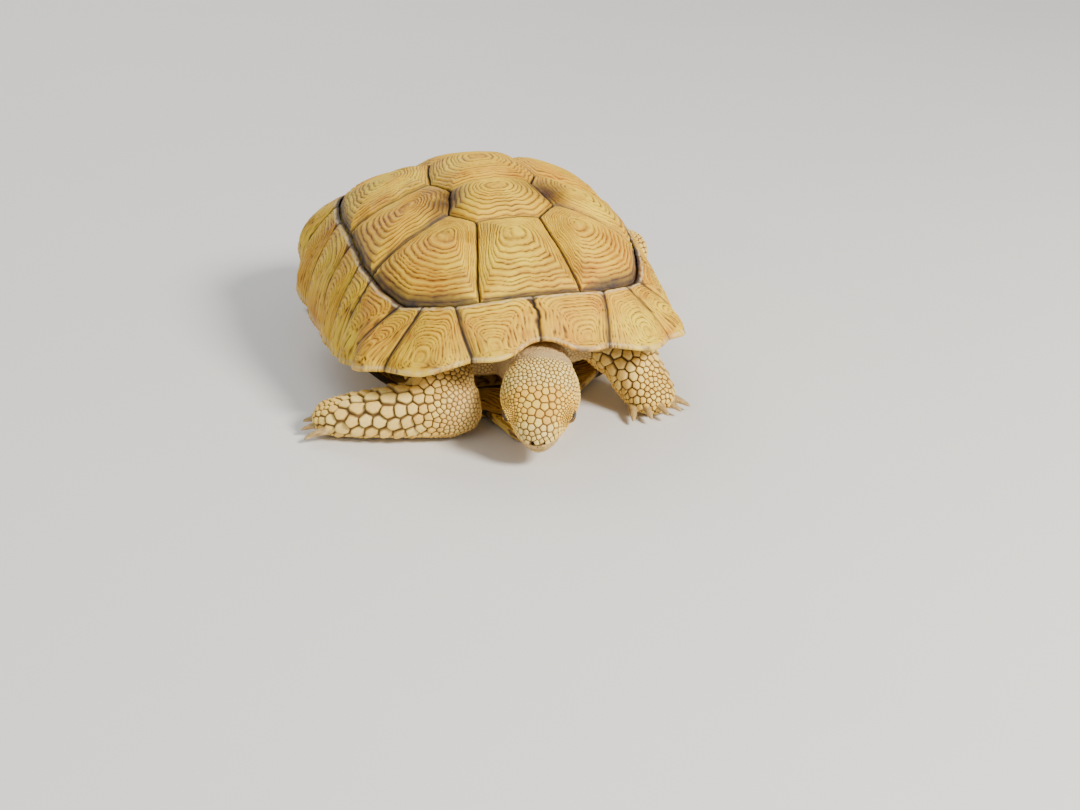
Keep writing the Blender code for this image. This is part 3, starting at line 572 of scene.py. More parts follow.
def seam_azimuths(places, level):
    """Azimuths of places in the row of marginals: level 0 at the seam above, 1 at the rim."""
    degrees = [seam[level] for seam in MARGINAL_SEAMS]
    return np.radians(np.interp(places, np.arange(len(degrees)), degrees))


def marginal_places(first, last):
    """Columns along the rim, closer together near each seam."""
    places = []
    for number in range(first, last):
        ends = shell_points(seam_azimuths([number, number + 1], 1), 0.95)
        count = max(FEWEST_COLUMNS, round(float(distance(*ends)) / MARGINAL_COLUMN))
        share = np.arange(count) / count
        places.append(number + crowded(share, 0.055))
    return np.concatenate([*places, [float(last)]])


def ratios_round(areola, ends, across, along):
    """How far each place is from the areola towards the end on each of its four sides, from 0 to 1."""
    ratios = [
        (across - areola[0]) / (ends[0] - areola[0]),
        (areola[0] - across) / areola[0],
        (along - areola[1]) / (ends[1] - areola[1]),
        (areola[1] - along) / areola[1],
    ]
    return np.clip(np.broadcast_arrays(*ratios), 0, None)


def norm_of(ratios, power):
    return (ratios**power).sum(0) ** (1 / power)


def build_marginal_row(name, first, last, side, seed, material, doubled=False):
    """The marginals from one seam to another, from the seam above, over the rim and in under it.

    doubled makes the one scute over the tail: its second half is the mirror of its first.
    """
    places = marginal_places(first, last)
    if doubled:
        places = np.concatenate([places, 2 * last - places[-2::-1]])
    past = places > last
    folded = np.where(past, 2 * last - places, places)
    top, rim = seam_azimuths(folded, 0)[None], seam_azimuths(folded, 1)[None]
    inner, outer = seam_radius(top), 1 - NOTCH_DEPTH * bell(np.degrees(rim), NOTCH_WIDTH)
    share = crowded(np.linspace(0, 1, MARGINAL_LEVELS), 0.04)[:, None]
    azimuth = (top + (rim - top) * share) * np.where(past, -side, side)
    place = polar(wandering(from_polar(azimuth, inner + (outer - inner) * share)))
    points, normals = shell_points(*place), shell_normals(*place)

    down, across = travelled(points, 0), travelled(points, 1)
    seams = np.abs(folded - np.round(folded)) < 1e-9
    if doubled:
        seams &= folded != last
    offsets = across[:, None] - across[:, seams][..., None]
    gap, ahead = np.abs(offsets).min(1), np.where(offsets <= 1e-9, -offsets, 9).min(1)
    number = np.minimum(np.floor(folded), last - 1)
    local = (folded - number) / (2 if doubled else 1)
    local = np.where(past, 1 - local, local)[None]
    aside = steps(number, 1, 4)[None]
    areola = (0.5, 0.88) if doubled else (0.56 + 0.14 * aside, 0.86 + 0.07 * aside)
    ratios = ratios_round(areola, (1, 1.10), local, share)
    round_gauge, square_gauge = norm_of(ratios, 2.4), norm_of(ratios, 8)
    gauge = round_gauge + (square_gauge - round_gauge) * np.clip(square_gauge, 0, 1) ** 0.6
    gauge = gauge * (1 + 0.05 * noise(points, 0.018, seed + 8))
    reach = np.broadcast_to(down[-1:] * areola[1], gauge.shape)
    rays = points * 0.35 + points[:1] * 0.65 + number[None, :, None] * 0.013
    height, ridge, tone = ring_relief(points, rays, gauge, reach, 0.14, MARGINAL_RELIEF, seed, 0.0009)

    above, beside = bell(down, SEAM_WIDTH), bell(gap, MARGINAL_SEAM[1])
    growth = np.maximum(bell(ahead, 0.0050, 3), bell(down, 0.0022))
    soften = np.clip(gap / SOFT_EDGE, 0.2, 1) * np.clip(down / SOFT_EDGE, 0.2, 1)
    lift = height * soften - SEAM_DEPTH * above - MARGINAL_SEAM[0] * beside - 0.0006 * growth
    bulge, inside = MARGINAL_BULGE
    bulge = bulge * np.clip(gap / inside, 0, 1) * np.clip(down / inside, 0, 1)
    points = points + normals * (lift + bulge)[..., None]
    outward = unit(normals[-1:] * (1, 1, 0))
    dent = (MARGINAL_SEAM[0] * beside)[-1:, :, None]
    rolled = [points[-1:] + outward * (out - dent * dents) - (0, 0, drop) for out, drop, dents in ROLLED_RIM]
    under = [points[row] - normals[row] * thick for row, thick in UNDER_RIM]
    everything = np.concatenate([points, *rolled, np.stack(under)])
    rows, columns = everything.shape[:2]
    faces = grid_faces(rows, columns, False)[:, ::side]

    def spread(values, below=None):
        values = np.broadcast_to(values, points.shape[:2])
        tail = values[-1:] if below is None else np.full_like(values[-1:], below)
        return np.concatenate([values, np.repeat(tail, rows - len(values), 0)]).ravel()

    pale = bell(down - 0.0034, 0.0012) + 0.8 * bell(down[-1:] - down, 0.0014)
    seam = np.maximum(above, beside)
    values = {"ring": ridge, "seam": seam, "growth": growth, "band": tone, "stain": 0.0}
    flow = on_grid(across, gauge * reach, number[None] * 0.31 + side)
    flow = np.concatenate([flow, np.repeat(flow[-1:], rows - len(flow), 0)])
    attributes = {key: spread(value) for key, value in values.items()}
    attributes |= {"pale": spread(pale, 0.35), "flow": flow.reshape(-1, 3)}
    piece = mesh_object("scute_" + name, everything.reshape(-1, 3), faces, attributes)
    dress(piece, "marginal", material, name)


def build_marginals(material):
    last = len(MARGINAL_SEAMS) - 2
    for seed, (side, sign) in enumerate(SIDES.items(), 71):
        build_marginal_row("marginals_" + side, 0, last, sign, seed, material)
    build_marginal_row("supracaudal", last, last + 1, 1, 73, material, doubled=True)


# ---------------------------------------------------------------- keratin of the shell
def shell_material(name, pale, warm, brown):
    """Honey-coloured horn: a painted highlight on the ridges, furrows brown and partly painted shade, grey
    new growth at the seams.
    """
    s = Shader(name)
    flow = s.attribute("flow", "Vector")
    ring, seam, growth = s.attribute("ring"), s.attribute("seam"), s.attribute("growth")
    patches = s.mottle(14, 3, 0.36, 0.66)
    tint = s.mix(patches, pale, warm)
    tint = s.mix(s.span(s.attribute("band"), 0.40, 0.95, 0, 0.60), tint, warm)
    rusty = s.mottle(38, 4, 0.50, 0.72, 0, 0.60, roughness=0.6)
    tint = s.mix(rusty, tint, (172, 90, 16))
    dusky = s.mottle(21, 4, 0.50, 0.74, 0, 0.45, roughness=0.6)
    tint = s.mix(dusky, tint, (128, 84, 26))
    streaks = s.noise(s.scaled(flow, (110, 1400, 1)), 1, 3, 0.6)
    tint = s.mix(s.span(streaks, 0.42, 0.72, 0, 0.20), tint, brown)
    uneven = s.mottle(55, 3, 0.3, 0.7, 0.45, 1.0)
    # brown in the furrows between the growth rings, darkest at their bottoms: partly the rings' own colour,
    # partly painted shade
    tint = s.mix(s.math("MULTIPLY", s.span(ring, 0.76, 0.36, 0, 0.92), uneven), tint, brown)
    tint = s.mix(s.math("MULTIPLY", s.span(ring, 0.46, 0.12, 0, 0.80), uneven), tint, (52, 30, 10))
    # painted highlight: the tops of the ridges and the raised areolas go light yellow
    tint = s.mix(s.span(ring, 0.86, 1.0, 0, 0.45), tint, (255, 222, 62))
    stained = s.math("MULTIPLY", s.attribute("stain"), s.mottle(42, 4, 0.34, 0.56, 0.50, 1.0, roughness=0.6))
    tint = s.mix(stained, tint, (72, 40, 12))
    grey = s.mix(s.noise(s.scaled(flow, (300, 900, 1)), 1, 2), (34, 28, 30), (74, 63, 60))
    shade = s.mottle(60, 2, 0.3, 0.7, 0.72, 1.0)
    tint = s.mix(s.math("MULTIPLY", growth, shade), tint, grey)
    chalky = s.mottle(130, 3, 0.35, 0.60, 0.15, 0.85)
    tint = s.mix(s.math("MULTIPLY", s.attribute("pale"), chalky), tint, (230, 206, 158))
    tint = s.mix(s.span(seam, 0.25, 0.9, 0, 0.75), tint, (56, 40, 28))
    rough = s.mottle(90, 3, 0.3, 0.7, 0.42, 0.62)
    fine = s.noise(s.scaled(flow, (260, 3600, 1)), 1, 4, 0.65)
    normal = s.bump(fine, 0.0006, 0.8)
    normal = s.bump(s.noise(s.place(), 900, 3), 0.0002, 0.5, normal)
    return s.finish(tint, rough, normal, Specular_IOR_Level=0.34)


# ---------------------------------------------------------------- the head's own directions
HEAD_TURN = 18.5
HEAD_DROP = 36.0
HEAD_ROOT = np.array([0.0002, -0.224, 0.0755])
EYE_RADIUS = 0.0078
MOUTH_LEVEL = -0.0055
BEAK_START = 0.0675


def head_axes():
    """Directions of the head: ahead, to its left, and up."""
    turn, drop = radians(HEAD_TURN), radians(HEAD_DROP)
    ahead = np.array([-sin(turn) * cos(drop), -cos(turn) * cos(drop), -sin(drop)])
    left = unit(np.cross([0, 0, 1], ahead))
    return np.stack([ahead, left, np.cross(ahead, left)])


def in_head(points):
    """Distance along the head from the nape, to its left, and up."""
    return (np.asarray(points) - HEAD_ROOT) @ head_axes().T


def from_head(ahead, left, up):
    return HEAD_ROOT + np.array([ahead, left, up]) @ head_axes()


EYES = {side: np.mean(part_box(f"eye_{side}"), axis=0) for side in SIDES}


def eye_axes(side):
    """Directions of one eye: outward, forward, up."""
    ahead, left, up = head_axes()
    outward = unit(left * SIDES[side] + 0.34 * ahead + 0.16 * up)
    forward = unit(ahead - outward * (ahead @ outward))
    return outward, forward, unit(up - outward * (up @ outward) - forward * (up @ forward))


def about_eye(side, points):
    """Angles across and above the eye's line of sight, the distance along it, and from the eye's centre."""
    outward, forward, up = eye_axes(side)
    arm = points - EYES[side]
    out = arm @ outward
    return np.arctan2(arm @ forward, out), np.arctan2(arm @ up, out), out, length_of(arm)


def from_eyes(points):
    """Distance to the nearer eye's centre."""
    return np.min([distance(points, centre) for centre in EYES.values()], axis=0)


# ---------------------------------------------------------------- meshes as arrays
def read(items, field, size, kind=np.float32):
    """One field of all items of a mesh, as rows of the size given."""
    values = np.empty(len(items) * size, kind)
    items.foreach_get(field, values)
    return values.reshape(-1, size)


def triangles_of(mesh):
    mesh.calc_loop_triangles()
    return read(mesh.vertices, "co", 3).astype(float), read(mesh.loop_triangles, "vertices", 3, np.int32)


def joined(blocks):
    """Vertices, faces and attributes of several meshes as those of one."""
    vertices, faces, values = zip(*blocks)
    starts = np.cumsum([0, *map(len, vertices)])
    faces = [block + start for block, start in zip(faces, starts)]
    attributes = {key: np.concatenate([part[key] for part in values]) for key in values[0]}
    return np.concatenate(vertices), np.concatenate(faces), attributes


def mesh_of(shape):
    """A mesh from a bmesh, which is freed."""
    mesh = bpy.data.meshes.new("made")
    shape.to_mesh(mesh)
    shape.free()
    return mesh


def solid_of(name):
    """The CAD solid of a node as a bmesh, its corners joined."""
    shape = bmesh.new()
    shape.from_mesh(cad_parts[name].data)
    bmesh.ops.remove_doubles(shape, verts=shape.verts, dist=1e-5)
    return shape


def remeshed(mesh, voxel):
    """A mesh of even cells round the one given."""
    coarse = placed("coarse", mesh)
    remesh = coarse.modifiers.new("even", "REMESH")
    remesh.mode = "VOXEL"
    remesh.voxel_size = voxel
    made = bpy.data.meshes.new_from_object(coarse.evaluated_get(bpy.context.evaluated_depsgraph_get()))
    bpy.data.objects.remove(coarse, do_unlink=True)
    return made


def edges_of(triangles):
    pairs = np.sort(np.concatenate([triangles[:, :2], triangles[:, 1:], triangles[:, ::2]]), axis=1)
    return np.unique(pairs, axis=0)


def normals_of(vertices, triangles):
    a, b, c = (vertices[triangles[:, i]] for i in range(3))
    face, corners = np.cross(b - a, c - a), triangles.ravel()
    total = [np.bincount(corners, np.repeat(column, 3), len(vertices)) for column in face.T]
    return unit(np.stack(total, 1))


def smoothed(vertices, triangles, rounds, shrink=0.5, swell=-0.53):
    """Evens out bumps shorter than a few edges and keeps the volume."""
    first, second = edges_of(triangles).T
    count = len(vertices)
    degree = np.maximum(np.bincount(np.concatenate([first, second]), minlength=count), 1)[:, None]

    def around(values):
        return np.bincount(first, values[second], count) + np.bincount(second, values[first], count)

    for turn in range(2 * rounds):
        total = np.stack([around(column) for column in vertices.T], 1)
        vertices = vertices + (swell if turn % 2 else shrink) * (total / degree - vertices)
    return vertices


def refined(vertices, triangles, chosen):
    """Splits the edges whose two ends are both chosen."""
    shape = bmesh.new()
    mesh = bpy.data.meshes.new("refined")
    mesh.from_pydata(vertices.tolist(), [], triangles.tolist())
    shape.from_mesh(mesh)
    edges = [edge for edge in shape.edges if all(chosen[vertex.index] for vertex in edge.verts)]
    bmesh.ops.subdivide_edges(shape, edges=edges, cuts=1, use_grid_fill=True)
    bmesh.ops.triangulate(shape, faces=shape.faces)
    return triangles_of(mesh_of(shape))


# ---------------------------------------------------------------- skin
FLESH = ("trunk", "neck", "head", "foreleg_left", "foreleg_right", "hindleg_left", "hindleg_right", "tail")
BEAKS = ("beak_upper", "beak_lower")
PARTS = (*FLESH, *BEAKS)
VOXEL = 0.0025
MELTING_ROUNDS = 22  # of smoothing, which melt the solids into one body
SKIN_LOWEST = 0.0006  # over the ground
NECK_FOLDS = 0.0060  # from one fold of the neck to the next
SWELL = 0.0009  # closes the thin cuts between the solids while they are made one
COAT_DEPTH = 0.0011
LID_THICKNESS = 0.0010
LID_HALF_WIDTH = 0.90  # of the opening between the lids, in radians about the eye
LID_HALF_HEIGHT = 0.52
LID_CORNERS = 1.55  # 2 for an oval opening, less for sharper corners
LID_SHIFT = 0.05  # the opening's place, ahead of straight out
LID_REACH = 0.0135  # of the lids, from the eye's centre
LID_FOLDS = ((1.13, 0.13, 0.0005), (1.62, 0.16, -0.0006), (2.15, 0.16, -0.0004))  # place, width and height
NOSTRIL = (0.0800, 0.0048, 0.0036)
NOSTRIL_RADIUS = 0.0017


def joined_flesh():
    """One closed surface round the solids of flesh, a little outside them."""
    shape = bmesh.new()
    for name in PARTS:
        part = solid_of(name)
        part.normal_update()
        for vertex in part.verts:
            vertex.co += vertex.normal * SWELL
        shape.from_mesh(mesh_of(part))
    radius = EYE_RADIUS + LID_THICKNESS + COAT_DEPTH
    for centre in EYES.values():
        ball = bmesh.ops.create_icosphere(shape, subdivisions=3, radius=radius)
        bmesh.ops.translate(shape, verts=ball["verts"], vec=Vector(centre))
    return triangles_of(remeshed(mesh_of(shape), VOXEL))


def lid_opening(across, rise):
    """1 at the rims of the lids, less between them."""
    wide, tall = np.abs(across - LID_SHIFT) / LID_HALF_WIDTH, np.abs(rise) / LID_HALF_HEIGHT
    return (wide**LID_CORNERS + tall**LID_CORNERS) ** (1 / LID_CORNERS)


def shape_lids(vertices):
    """Wraps the skin round each eyeball and opens it between the lids.

    Returns the points, and how near each is to a rim.
    """
    rim = np.zeros(len(vertices))
    for side, centre in EYES.items():
        across, rise, out, reach = about_eye(side, vertices)
        near = (reach < LID_REACH) & (out > 0)
        angle = np.arccos(np.clip(out / np.maximum(reach, 1e-9), -1, 1))
        hold = steps(angle, 1.35, 0.95) * near
        opening = lid_opening(across, rise)
        inside = steps(opening, 1.06, 0.92)
        folds = sum(height * bell(opening - place, width) for place, width, height in LID_FOLDS)
        lid = (EYE_RADIUS + LID_THICKNESS + folds) * (1 - inside) + (EYE_RADIUS - 0.0016) * inside
        wanted = centre + (vertices - centre) * (lid / np.maximum(reach, 1e-9))[:, None]
        vertices = vertices + (wanted - vertices) * hold[:, None]
        rim = np.maximum(rim, bell(opening - 1.02, 0.06) * near)
    return vertices, rim


def mouth_line(ahead):
    """Height of the mouth at a place along the head: level at the beak, rising a little to the corner."""
    return MOUTH_LEVEL + 0.0022 * steps(BEAK_START - ahead, 0.0, 0.026)


def nostrils():
    ahead, left, up = NOSTRIL
    return [from_head(ahead, sign * left, up) for sign in SIDES.values()]


def sculpt_skin(vertices, triangles):
    """Wrinkles, neck folds, brow, mouth and nostrils, as moves along the normals."""
    ahead, left, up = in_head(vertices).T
    aside = np.abs(left)
    near_head = steps(ahead, -0.012, 0.006)
    on_neck = steps(vertices[:, 1], -0.120, -0.150) * (np.abs(vertices[:, 0]) < 0.046) * (1 - near_head)
    lift = bumps(vertices, 31, (0.011, 0.0006, 0), (0.0048, 0.00028, 1))
    creases = np.sin(ahead / NECK_FOLDS * pi + 1.5 * noise(vertices, 0.016, 33) + 18 * aside)
    lift = lift + on_neck * (0.0009 * (np.abs(creases) ** 0.6 - 0.6) + 0.0005 * noise(vertices, 0.0028, 34))
    lift = lift - 0.0012 * (bell(ahead + 0.002, 0.006) * steps(aside, 0.0, 0.03))
    brow = np.hypot((ahead - 0.050) / 0.011, (up - 0.0185) / 0.0048)
    cheek = np.hypot((ahead - 0.030) / 0.012, (up + 0.006) / 0.011)
    brow, cheek = bell(brow, 1) * steps(aside, 0.014, 0.022), bell(cheek, 1) * steps(aside, 0.02, 0.03)
    lift = lift + 0.0016 * brow + 0.0009 * cheek
    crease = bell(up - mouth_line(ahead), 0.0009) * steps(ahead, 0.040, 0.046) * near_head
    lift = lift - 0.0015 * crease
    for hole, centre in zip(nostrils(), EYES.values()):
        lift = lift - 0.0034 * bell(distance(vertices, hole), NOSTRIL_RADIUS, 4)
        lift = lift - 0.0008 * bell(distance(vertices, centre) - 0.0122, 0.0016) * near_head
    return vertices + normals_of(vertices, triangles) * lift[:, None]


def build_skin_surface():
    """The skin's vertices, triangles and nearness to the rims of the lids."""
    vertices, triangles = joined_flesh()
    vertices = smoothed(vertices, triangles, MELTING_ROUNDS)
    vertices = vertices - normals_of(vertices, triangles) * (SWELL + COAT_DEPTH)
    vertices = smoothed(vertices, triangles, 3)
    ahead, left, up = in_head(vertices).T
    around_head = (ahead > -0.035) & (np.abs(left) < 0.060) & (np.abs(up) < 0.055)
    vertices, triangles = refined(vertices, triangles, around_head)
    ahead, left, up = in_head(vertices).T
    near_mouth = (np.abs(up - mouth_line(ahead)) < 0.0035) & (ahead > 0.038)
    near_nostrils = (ahead > 0.072) & (np.abs(left) < 0.012) & (up > -0.004)
    chosen = near_mouth | near_nostrils | (from_eyes(vertices) < LID_REACH)
    vertices, triangles = refined(vertices, triangles, chosen)
    vertices, triangles = refined(vertices, triangles, from_eyes(vertices) < 0.0105)
    vertices = smoothed(vertices, triangles, 2)
    vertices, rim = shape_lids(sculpt_skin(vertices, triangles))
    vertices[:, 2] = np.maximum(vertices[:, 2], SKIN_LOWEST)
    return vertices, triangles, rim


# ---------------------------------------------------------------- where the scales lie
FEET = {
    # end of the foot, and a point further up it
    "foreleg_left": ((0.128, -0.197), (0.123, -0.179)),
    "foreleg_right": ((-0.200, -0.140), (-0.168, -0.156)),
    "hindleg_left": ((0.217, 0.173), (0.177, 0.153)),
    "hindleg_right": ((-0.132, 0.186), (-0.115, 0.156)),
}
ARMOUR_FACES = {"foreleg_left": (0.30, -0.80, 0.45), "foreleg_right": (-0.20, -0.72, 0.62)}
HIDDEN_DEPTH = 0.007  # skin with the shell this close over it bears no scales
SIGHT_LINES = 20
SIGHT_START = 0.004  # of each line of sight, above the skin
GOLDEN_ANGLE = 2.399963  # radians between one line of sight and the next
def tree_of(names):
    """A search tree over the solids named, and the place in names of each of its faces."""
    solids = [(*triangles_of(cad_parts[name].data), {}) for name in names]
    vertices, triangles, _ = joined(solids)
    tree = BVHTree.FromPolygons(vertices.tolist(), triangles.tolist())
    return tree, np.repeat(np.arange(len(solids)), [len(solid[1]) for solid in solids])


def parts_at(points):
    """The name of the body part under each point, as its place in PARTS."""
    tree, owners = tree_of(PARTS)
    return np.array([owners[tree.find_nearest(Vector(point))[2]] for point in points])


def under_shell(points, normals):
    plates = ("vertebral", "costal", "marginal", "supracaudal", "plastron")
    shell_names = [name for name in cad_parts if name.startswith(plates)]
    tree, _ = tree_of(shell_names)
    hits = [tree.ray_cast(Vector(p), Vector(n), HIDDEN_DEPTH)[0] for p, n in zip(points, normals)]
    return np.array([hit is not None for hit in hits])


def in_sight(points, normals):
    """False where every way out from the skin runs into the shell or another part of the body."""
    tree, _ = tree_of([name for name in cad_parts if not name.startswith(("eye", "claw"))])
    turns = np.arange(SIGHT_LINES) * GOLDEN_ANGLE
    slope = np.sqrt((np.arange(SIGHT_LINES) + 0.5) / SIGHT_LINES)
    ways = np.stack([slope * np.cos(turns), slope * np.sin(turns), np.sqrt(1 - slope**2)], 1)
    seen = np.zeros(len(points), bool)
    for i, (point, normal) in enumerate(zip(points, normals)):
        turned = Vector((0, 0, 1)).rotation_difference(Vector(normal)).to_matrix()
        start = Vector(point) + Vector(normal) * SIGHT_START
        seen[i] = any(tree.ray_cast(start, turned @ Vector(way))[0] is None for way in ways)
    return seen


BEAK_REACH = {"upper": 0.0056, "lower": 0.0078}  # of the horn, from the mouth


def upper_reach(ahead):
    """How high the horn of the upper beak goes: it rises towards the nostrils."""
    return BEAK_REACH["upper"] + 0.0016 * steps(ahead, 0.072, 0.082)


def kept_bare(points, rim):
    """Where no scale grows: between the lids and on their rims, along the mouth, in the nostrils."""
    ahead, _, up = in_head(points).T
    bare = rim > 0.25
    for side, hole in zip(EYES, nostrils()):
        across, rise, out, reach = about_eye(side, points)
        bare |= (lid_opening(across, rise) < 1.14) & (out > 0) & (reach < 0.0125)
        bare |= distance(points, hole) < 2.0 * NOSTRIL_RADIUS
    bare |= (np.abs(up - mouth_line(ahead)) < 0.0008) & (ahead > 0.042)
    above = up - MOUTH_LEVEL
    horn = (above > -BEAK_REACH["lower"]) & (above < upper_reach(ahead))
    return bare | (horn & (ahead > BEAK_START + 0.0020))


def foot_distance(points, leg):
    return distance(points[:, :2], np.array(FEET[leg][0]))


def scale_plan(points, normals, parts):
    """Size, height, overlap and kind of the scales at each point of the skin.

    Returns columns: spacing, height, lean, doming, how grey the skin is there, and how warm the scales are.
    """
    ahead, left, up = in_head(points).T
    plan = np.zeros((len(points), 6))

    def fill(names, *columns):
        chosen = np.isin(parts, [PARTS.index(name) for name in names])
        for i, values in enumerate(columns):
            plan[chosen, i] = np.broadcast_to(values, len(points))[chosen]

    fill(["trunk"], 0.0042, 0.00045, 0.0, 0.8, 0.7, 0.2)
    fill(["tail"], 0.0046, 0.0008, 0.35, 0.6, 0.2, 0.3)
    nape = steps(ahead, -0.030, -0.002)
    fill(["neck"], 0.0032 - 0.0004 * nape, 0.00040 - 0.00012 * nape, 0.0, 0.8, 1.0, 0.0)

    upper = steps(up, -0.004, 0.012)
    shield = steps(ahead, 0.026, 0.042) * steps(up + 0.35 * ahead, 0.024, 0.030)
    shield = shield * steps(np.abs(left), 0.026, 0.018)
    spacing = 0.0036 + 0.0014 * upper * steps(ahead, 0.002, 0.014)
    spacing = spacing + 0.0036 * shield * steps(ahead, 0.078, 0.066)
    from_lids = np.maximum(from_eyes(points) - EYE_RADIUS - LID_THICKNESS, 0)
    spacing = np.minimum(spacing, 0.0021 + 0.42 * from_lids)
    spacing = np.minimum(spacing, 0.0030 + 0.25 * np.abs(up - mouth_line(ahead)))
    warm = steps(ahead, 0.024, 0.040) * steps(ahead, 0.074, 0.058)
    grey = 0.25 * steps(ahead, 0.012, 0.0)
    fill(["head", *BEAKS], spacing, 0.00045 + 0.12 * spacing, 0.0, 0.75 - 0.3 * shield, grey, warm)

    for leg, front in ARMOUR_FACES.items():
        tip = foot_distance(points, leg)
        facing = steps(normals @ unit(front), -0.15, 0.40)
        middle = steps(tip, 0.010, 0.040) * steps(tip, 0.135, 0.080)
        armour = facing * middle
        variety = np.clip(1 + 0.22 * noise(points, 0.020, 51), 0.72, 1.35)
        spacing = 0.0052 + (0.0094 * variety) * armour + 0.0010 * facing
        upper_arm = steps(tip, 0.110, 0.150) if leg == "foreleg_right" else steps(points[:, 2], 0.060, 0.080)
        spacing = spacing - 0.0010 * upper_arm
        lean, doming = 0.35 + 0.55 * armour, 0.70 - 0.2 * armour
        fill([leg], spacing, 0.0006 + 0.150 * spacing, lean, doming, 0.5 * upper_arm, 0.55 - 0.45 * armour)
    for leg in ("hindleg_left", "hindleg_right"):
        tip = foot_distance(points, leg)
        shank = steps(tip, 0.115, 0.070)
        spacing = 0.0050 + 0.0026 * shank * steps(tip, 0.008, 0.030)
        fill([leg], spacing, 0.0005 + 0.13 * spacing, 0.40, 0.7, 0.5 * (1 - shank), 0.45)
    return plan


def lie_of(points, normals, parts):
    """The direction the scales point in: down each leg, back along the head and neck and down the tail."""
    wanted = np.tile(-head_axes()[0], (len(points), 1))
    for place, name in enumerate(PARTS):
        if name in FEET:
            end = np.array([*FEET[name][0], 0.004])
            wanted[parts == place] = end - points[parts == place]
        if name == "tail":
            wanted[parts == place] = (0.0, 1.0, -0.6)
    wanted = unit(wanted)
    tangent = wanted - normals * np.sum(wanted * normals, axis=1, keepdims=True)
    return unit(tangent + 1e-6 * np.array([0, 0, 1]))


# ---------------------------------------------------------------- roots of the scales
class Surface:
    """A mesh of triangles that points can be dropped on."""

    def __init__(self, vertices, triangles):
        self.vertices, self.triangles = vertices, triangles
        self.tree = BVHTree.FromPolygons(vertices.tolist(), triangles.tolist())

    def drop(self, points):
        """The closest points of the skin and their faces."""
        found = [self.tree.find_nearest(Vector(point)) for point in points]
        return np.array([hit[0] for hit in found]), np.array([hit[2] for hit in found])

    def shares(self, points, faces):
        a, b, c = (self.vertices[self.triangles[faces, i]] for i in range(3))
        first, second, arm = b - a, c - a, points - a
        d11, d12, d22 = (np.sum(p * q, 1) for p, q in ((first, first), (first, second), (second, second)))
        d31, d32 = np.sum(arm * first, 1), np.sum(arm * second, 1)
        base = np.maximum(d11 * d22 - d12 * d12, 1e-20)
        v, w = (d22 * d31 - d12 * d32) / base, (d11 * d32 - d12 * d31) / base
        return np.clip(np.stack([1 - v - w, v, w], 1), 0, 1)

    def at(self, values, points, faces):
        """Values of the skin's points, blended over each face."""
        return np.einsum("ni,nij->nj", self.shares(points, faces), values[self.triangles[faces]])


class Skin(Surface):
    """The finished skin, with the plan of its scales at each of its points."""

    def __init__(self, vertices, triangles, rim):
        super().__init__(vertices, triangles)
        self.normals = normals_of(vertices, triangles)
        self.parts = parts_at(vertices)
        self.plan = scale_plan(vertices, self.normals, self.parts)
        self.rim = rim
        self.bare = under_shell(vertices, self.normals) | kept_bare(vertices, rim)


SPREADING_ROUNDS = 14  # of pushing the roots apart


def scatter(skin):
    """Roots spread over the skin at the plan's spacing: random, then pushed apart."""
    a, b, c = (skin.vertices[skin.triangles[:, i]] for i in range(3))
    area = length_of(np.cross(b - a, c - a)) / 2
    spacing = skin.plan[skin.triangles, 0].mean(1)
    bare = skin.bare[skin.triangles].any(1)
    wanted = np.where(bare, 0, area / (0.80 * spacing**2))
    cumulative = np.cumsum(wanted)
    count = int(cumulative[-1])
    faces = np.searchsorted(cumulative, (np.arange(count) + rng.random(count)) / count * cumulative[-1])
    faces = np.clip(faces, 0, len(area) - 1)
    first, second = rng.random(count), rng.random(count)
    flip = first + second > 1
    first[flip], second[flip] = 1 - first[flip], 1 - second[flip]
    points = a[faces] + (b - a)[faces] * first[:, None] + (c - a)[faces] * second[:, None]
    for _ in range(SPREADING_ROUNDS):
        own = skin.at(skin.plan, points, faces)[:, 0]
        around = neighbours(points, 7)
        arm = points[:, None] - points[around]
        gap = length_of(arm)
        room = (own[:, None] + own[around]) / 2
        push = np.clip(1 - gap / (1.12 * room), 0, 1) * room / np.maximum(gap, 1e-6)
        points = points + 0.42 * np.sum(arm * push[..., None], axis=1)
        points, faces = skin.drop(points)
    return points, faces


def neighbours(points, count):
    """Indices of the nearest other points of each point."""
    tree = KDTree(len(points))
    for i, point in enumerate(points):
        tree.insert(point, i)
    tree.balance()
    return np.array([[found[1] for found in tree.find_n(point, count + 1)[1:]] for point in points])


# ---------------------------------------------------------------- scales
SCALE_KINDS = (
    # up to this size: points round the outline, and rings of (share of the radius, share of the height)
    (0.0043, 9, ((0.55, 0.82), (0.92, 0.30))),
    (0.0075, 14, ((0.45, 0.93), (0.78, 0.70), (0.95, 0.28))),
    (1.0, 26, ((0.25, 0.99), (0.50, 0.94), (0.72, 0.83), (0.88, 0.62), (0.97, 0.25))),
)
SCALE_GAP = 0.00028
SCALE_GAP_GROWTH = 0.012  # the gap's further width, as a share of the scale's size
SCALE_SKIRT = 0.0007


BAKE_PATCH = 0.003  # of the baking map, for each scale
UNWRAP_VOXEL = 0.009


